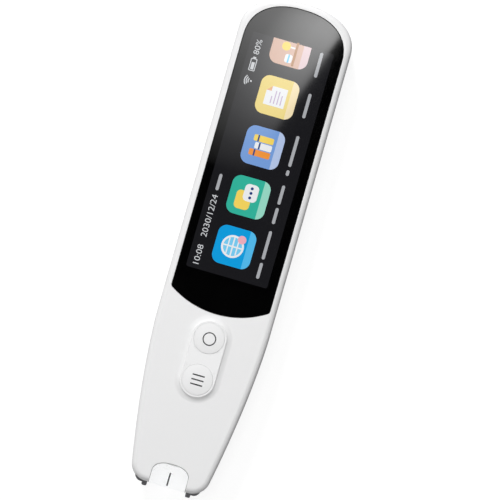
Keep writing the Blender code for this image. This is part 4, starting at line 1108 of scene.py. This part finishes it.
def make_sight_window():
    window = rounded_prism(
        "sight_pane", lambda grow: sight_outline(grow - PANE_INSET, SHELL_END - grow),
        BODY_THICKNESS - SHELL_WALL, BODY_THICKNESS, PANE_EDGE
    )
    window.visible_shadow = False
    finish_smooth(window, 40, "casing", "clear_plastic", "sight_window")
    # Painted shade: a black ring in the gap between the opening and the pane, standing for the shadow in
    # the gap
    outline = sight_outline(-GAP_SHADE_OUTER, SHELL_END) + sight_outline(-GAP_SHADE_INNER, SHELL_END)[::-1]
    gap_shade = prism("sight_gap_shade", outline, GAP_SHADE_LOW, GAP_SHADE_HIGH, PAINTS["black_plastic"])
    finish_piece(gap_shade, "casing", "black_plastic")
    outline = round_rect((0, at(AIM_S)), AIM_SIZE, AIM_CORNER, 4)
    low, high = BODY_THICKNESS - LAYER / 2, BODY_THICKNESS + LAYER
    finish_piece(prism("aiming_line", outline, low, high, SYMBOL), "casing", "black_plastic")


def make_springs():
    """Coils behind the tip, built where they stand and fixed to no body."""
    side_x = PEN_WIDTH / 2 - taper_in(SPRING_REAR) - SPRING_FROM_SIDE
    around, run = 24, SPRING_LENGTH - 2 * SPRING_WIRE
    total = SPRING_TURNS * around
    rise = run / (2 * math.pi * SPRING_TURNS)
    section = circle((0, 0), 1, 10)
    for side, word in ((-1, "left"), (1, "right")):
        rings = []
        for step in range(total + 1):
            angle = 2 * math.pi * step / around
            out = Vector((math.cos(angle), 0, math.sin(angle)))
            along = Vector((-SPRING_RADIUS * out.z, rise, SPRING_RADIUS * out.x)).normalized()
            across = along.cross(out)
            y = SPRING_FRONT + SPRING_WIRE + run * step / total
            centre = Vector((side * side_x, y, SPRING_HEIGHT)) + SPRING_RADIUS * out
            rings.append([centre + SPRING_WIRE * (cos * out + sin * across) for cos, sin in section])
        spring = smooth(stack(f"tip_coil_{word}", rings, PAINTS["steel"]), 50)
        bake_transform(spring)
        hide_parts(f"tip_spring_{word}")


# Socket

def make_socket():
    rear, mouth, wall, soft = SOCKET_REAR, SOCKET_MOUTH, SOCKET_WALL, SOCKET_EDGE
    levels = (
        (0.0, rear), (0.0, mouth - soft), (-soft / 2, mouth), (-wall + soft / 2, mouth),
        (-wall, mouth - soft), (-wall, rear),
    )
    shell = stack("socket_shell", [socket_ring(grow, y) for grow, y in levels], closed=True)
    finish_smooth(shell, 40, "casing", "steel", "usb_shell")
    inside = -SOCKET_WALL - SLIDE_GAP
    tongue = stack("socket_tongue", [socket_ring(inside, y) for y in (rear, rear + TONGUE_BASE)])
    (half_x, half_z), (start, end) = BLADE_HALF, BLADE_RUN
    low, high = (-half_x, start, SOCKET_HEIGHT - half_z), (half_x, end, SOCKET_HEIGHT + half_z)
    carve(tongue, rounded_block("blade", low, high, BLADE_EDGE, 2), operation="UNION")
    finish_smooth(tongue, 40, "casing", "black_plastic", "usb_tongue")
    builder = bmesh.new()
    (half_width, half_depth), (start, end) = CONTACT_HALF, CONTACT_RUN
    for side in (-1, 1):
        z = SOCKET_HEIGHT + side * half_z
        for place in range(12):
            x = (place - 5.5) * CONTACT_PITCH
            outline = rectangle((x - half_width, start), (x + half_width, end))
            add_solid(builder, slab(outline, z - half_depth, z + half_depth))
    gold = brushed("contact_gold", (0.78, 0.6, 0.3), 0.25)
    finish_piece(link_mesh("socket_contacts", builder, gold), "casing", "steel")


# Floor, light and backdrop

FLOOR_HALF = 3.0
FLOOR_GLOW = 0.84
REFLECTED = 0.6  # How far above the glass the bright panel is
CARD_HALF = 0.4
CARD_ABOVE = 0.001
STRIP = (0.0195, -0.2), (0.3, 0.2)
STRIP_HEIGHT = 0.0005
PANEL_STRENGTH = 7.5
PANEL_PEAK = 1.1
PANEL_FADE_START = 6
PANEL_FADE_LENGTH = 50
PANEL_FADE_POWER = 1.75
# Where the panel's sharp side shows in the glass, as millimetres across and from the top end
PANEL_SIDE = (
    (13.8, 1.5), (12.9, 4.5), (12.2, 6.8), (10.6, 11.2), (8.9, 16.2), (7.2, 21.3), (5.6, 25.9),
    (3.7, 31.5), (1.8, 37.9), (-0.6, 45.0), (-3.4, 53.0),
)
# How bright the panel is at these millimetres from that side
PANEL_LEVELS = (
    (0.9, 0.0), (0.4, 0.25), (0.0, 0.7), (-0.5, 0.92), (-2, 1.0), (-7, 1.0), (-13, 0.82),
    (-20, 0.5), (-34, 0.35),
)


def backdrop_share(tree):
    """One for rays from the camera, from gloss and through glass; nought for light on things."""
    path = node(tree, "ShaderNodeLightPath").outputs
    share = path["Is Camera Ray"]
    for word in ("Glossy", "Transmission"):
        values = {"operation": "MAXIMUM", 0: share, 1: path[f"Is {word} Ray"]}
        share = node(tree, "ShaderNodeMath", values).outputs[0]
    return share


def make_world(level):
    world = bpy.data.worlds.new("studio")
    scene.world = world
    world.use_nodes = True
    tree = world.node_tree
    values = {"Value": backdrop_share(tree), "To Min": level, "To Max": 1.0}
    strength = node(tree, "ShaderNodeMapRange", values).outputs["Result"]
    give(tree.nodes["Background"], {"Color": (1, 1, 1, 1), "Strength": strength})


def sheet(name, low, high, z, material):
    """An open flat sheet for the stage."""
    builder = bmesh.new()
    builder.faces.new([builder.verts.new((x, y, z)) for x, y in rectangle(low, high)])
    return link_mesh(name, builder, material, outward=False)


def make_floor():
    material, tree, shader = new_material("floor_paper", {"Roughness": 0.9, "Specular IOR Level": 0.0})
    vary_colour(shader, noise(tree, 0.003), (0.27, 0.27, 0.27), (0.29, 0.29, 0.29))
    values = {"operation": "MULTIPLY", 0: backdrop_share(tree), 1: FLOOR_GLOW}
    glow = node(tree, "ShaderNodeMath", values).outputs[0]
    give(shader, {"Emission Color": (1, 1, 1, 1), "Emission Strength": glow})
    floor = sheet("floor", (-FLOOR_HALF, -FLOOR_HALF), (FLOOR_HALF, FLOOR_HALF), 0, material)


def add_area(name, place, size, power):
    """A round lamp that shines on the pen's middle."""
    data = bpy.data.lights.new(name, "AREA")
    data.shape = "DISK"
    data.size = size
    data.energy = power
    lamp = bpy.data.objects.new(name, data)
    lamp.location = place
    lamp.rotation_euler = (-Vector(place)).to_track_quat("-Z", "Y").to_euler()
    scene.collection.objects.link(lamp)
    return lamp


def make_lights():
    make_world(0.25)
    add_area("high_light", (-0.17, 0.24, 1.98), size=1.0, power=11.2)
    side_light = add_area("side_light", (-0.787, 1.481, 1.089), size=0.5, power=28.5)
    side_light.visible_glossy = False


def mirrored(x, s):
    """Where a card above the pen has to be so that the glass shows it at this place."""
    scale = 1 + REFLECTED / (VIEW_PLANE + CAMERA_DISTANCE - BODY_THICKNESS)
    middle_x, middle_y = VIEW_CENTRE
    return middle_x + (x * MM - middle_x) * scale, middle_y + (at(s) - middle_y) * scale


def make_bright_panel(z):
    """The panel that the glass shows along its top right side, fading towards the keys."""
    builder = bmesh.new()
    rows, levels = [], []
    for x, s in PANEL_SIDE:
        run = max(0.0, s - PANEL_FADE_START) / PANEL_FADE_LENGTH
        fade = PANEL_PEAK * max(0.0, 1 - run) ** PANEL_FADE_POWER
        rows.append([builder.verts.new((*mirrored(x + reach, s), z)) for reach, level in PANEL_LEVELS])
        levels += [level * fade for reach, level in PANEL_LEVELS]
    for upper, lower in zip(rows, rows[1:]):
        for here in range(len(upper) - 1):
            builder.faces.new((upper[here], upper[here + 1], lower[here + 1], lower[here]))
    material, tree = new_material("panel_glow")[:2]
    tree.nodes.clear()
    level = node(tree, "ShaderNodeAttribute", {"attribute_name": "level"}).outputs["Fac"]
    values = {"operation": "MULTIPLY", 0: level, 1: PANEL_STRENGTH}
    strength = node(tree, "ShaderNodeMath", values).outputs[0]
    emission = node(tree, "ShaderNodeEmission", {"Strength": strength}).outputs[0]
    node(tree, "ShaderNodeOutputMaterial", {"Surface": emission})
    panel = link_mesh("bright_panel", builder, material, outward=False)
    layer = panel.data.attributes.new("level", "FLOAT", "POINT")
    layer.data.foreach_set("value", levels)
    return panel


def make_cards():
    """A dark card and a bright panel over the pen and a dark strip beside it, for reflections only."""
    high = BODY_THICKNESS + REFLECTED
    dark = {"Base Color": (0, 0, 0, 1), "Specular IOR Level": 0.0, "Roughness": 1.0}
    black = new_material("card_black", dark)[0]
    card = sheet("dark_card", (-CARD_HALF, -CARD_HALF), (CARD_HALF, CARD_HALF), high + CARD_ABOVE, black)
    panel = make_bright_panel(high)
    strip = sheet("dark_strip", *STRIP, STRIP_HEIGHT, black)
    for made in (card, panel, strip):
        for rays in ("camera", "diffuse", "transmission", "volume_scatter", "shadow"):
            setattr(made, f"visible_{rays}", False)


make_front_shell()
make_rear_shell()
make_glass()
make_screen()
make_island()
make_key("home", HOME_Y)
make_key("menu", MENU_Y)
make_marks()
make_liner()
make_sight_window()
make_springs()
make_socket()
make_floor()
make_lights()
make_cards()
scene.view_settings.view_transform = "Standard"
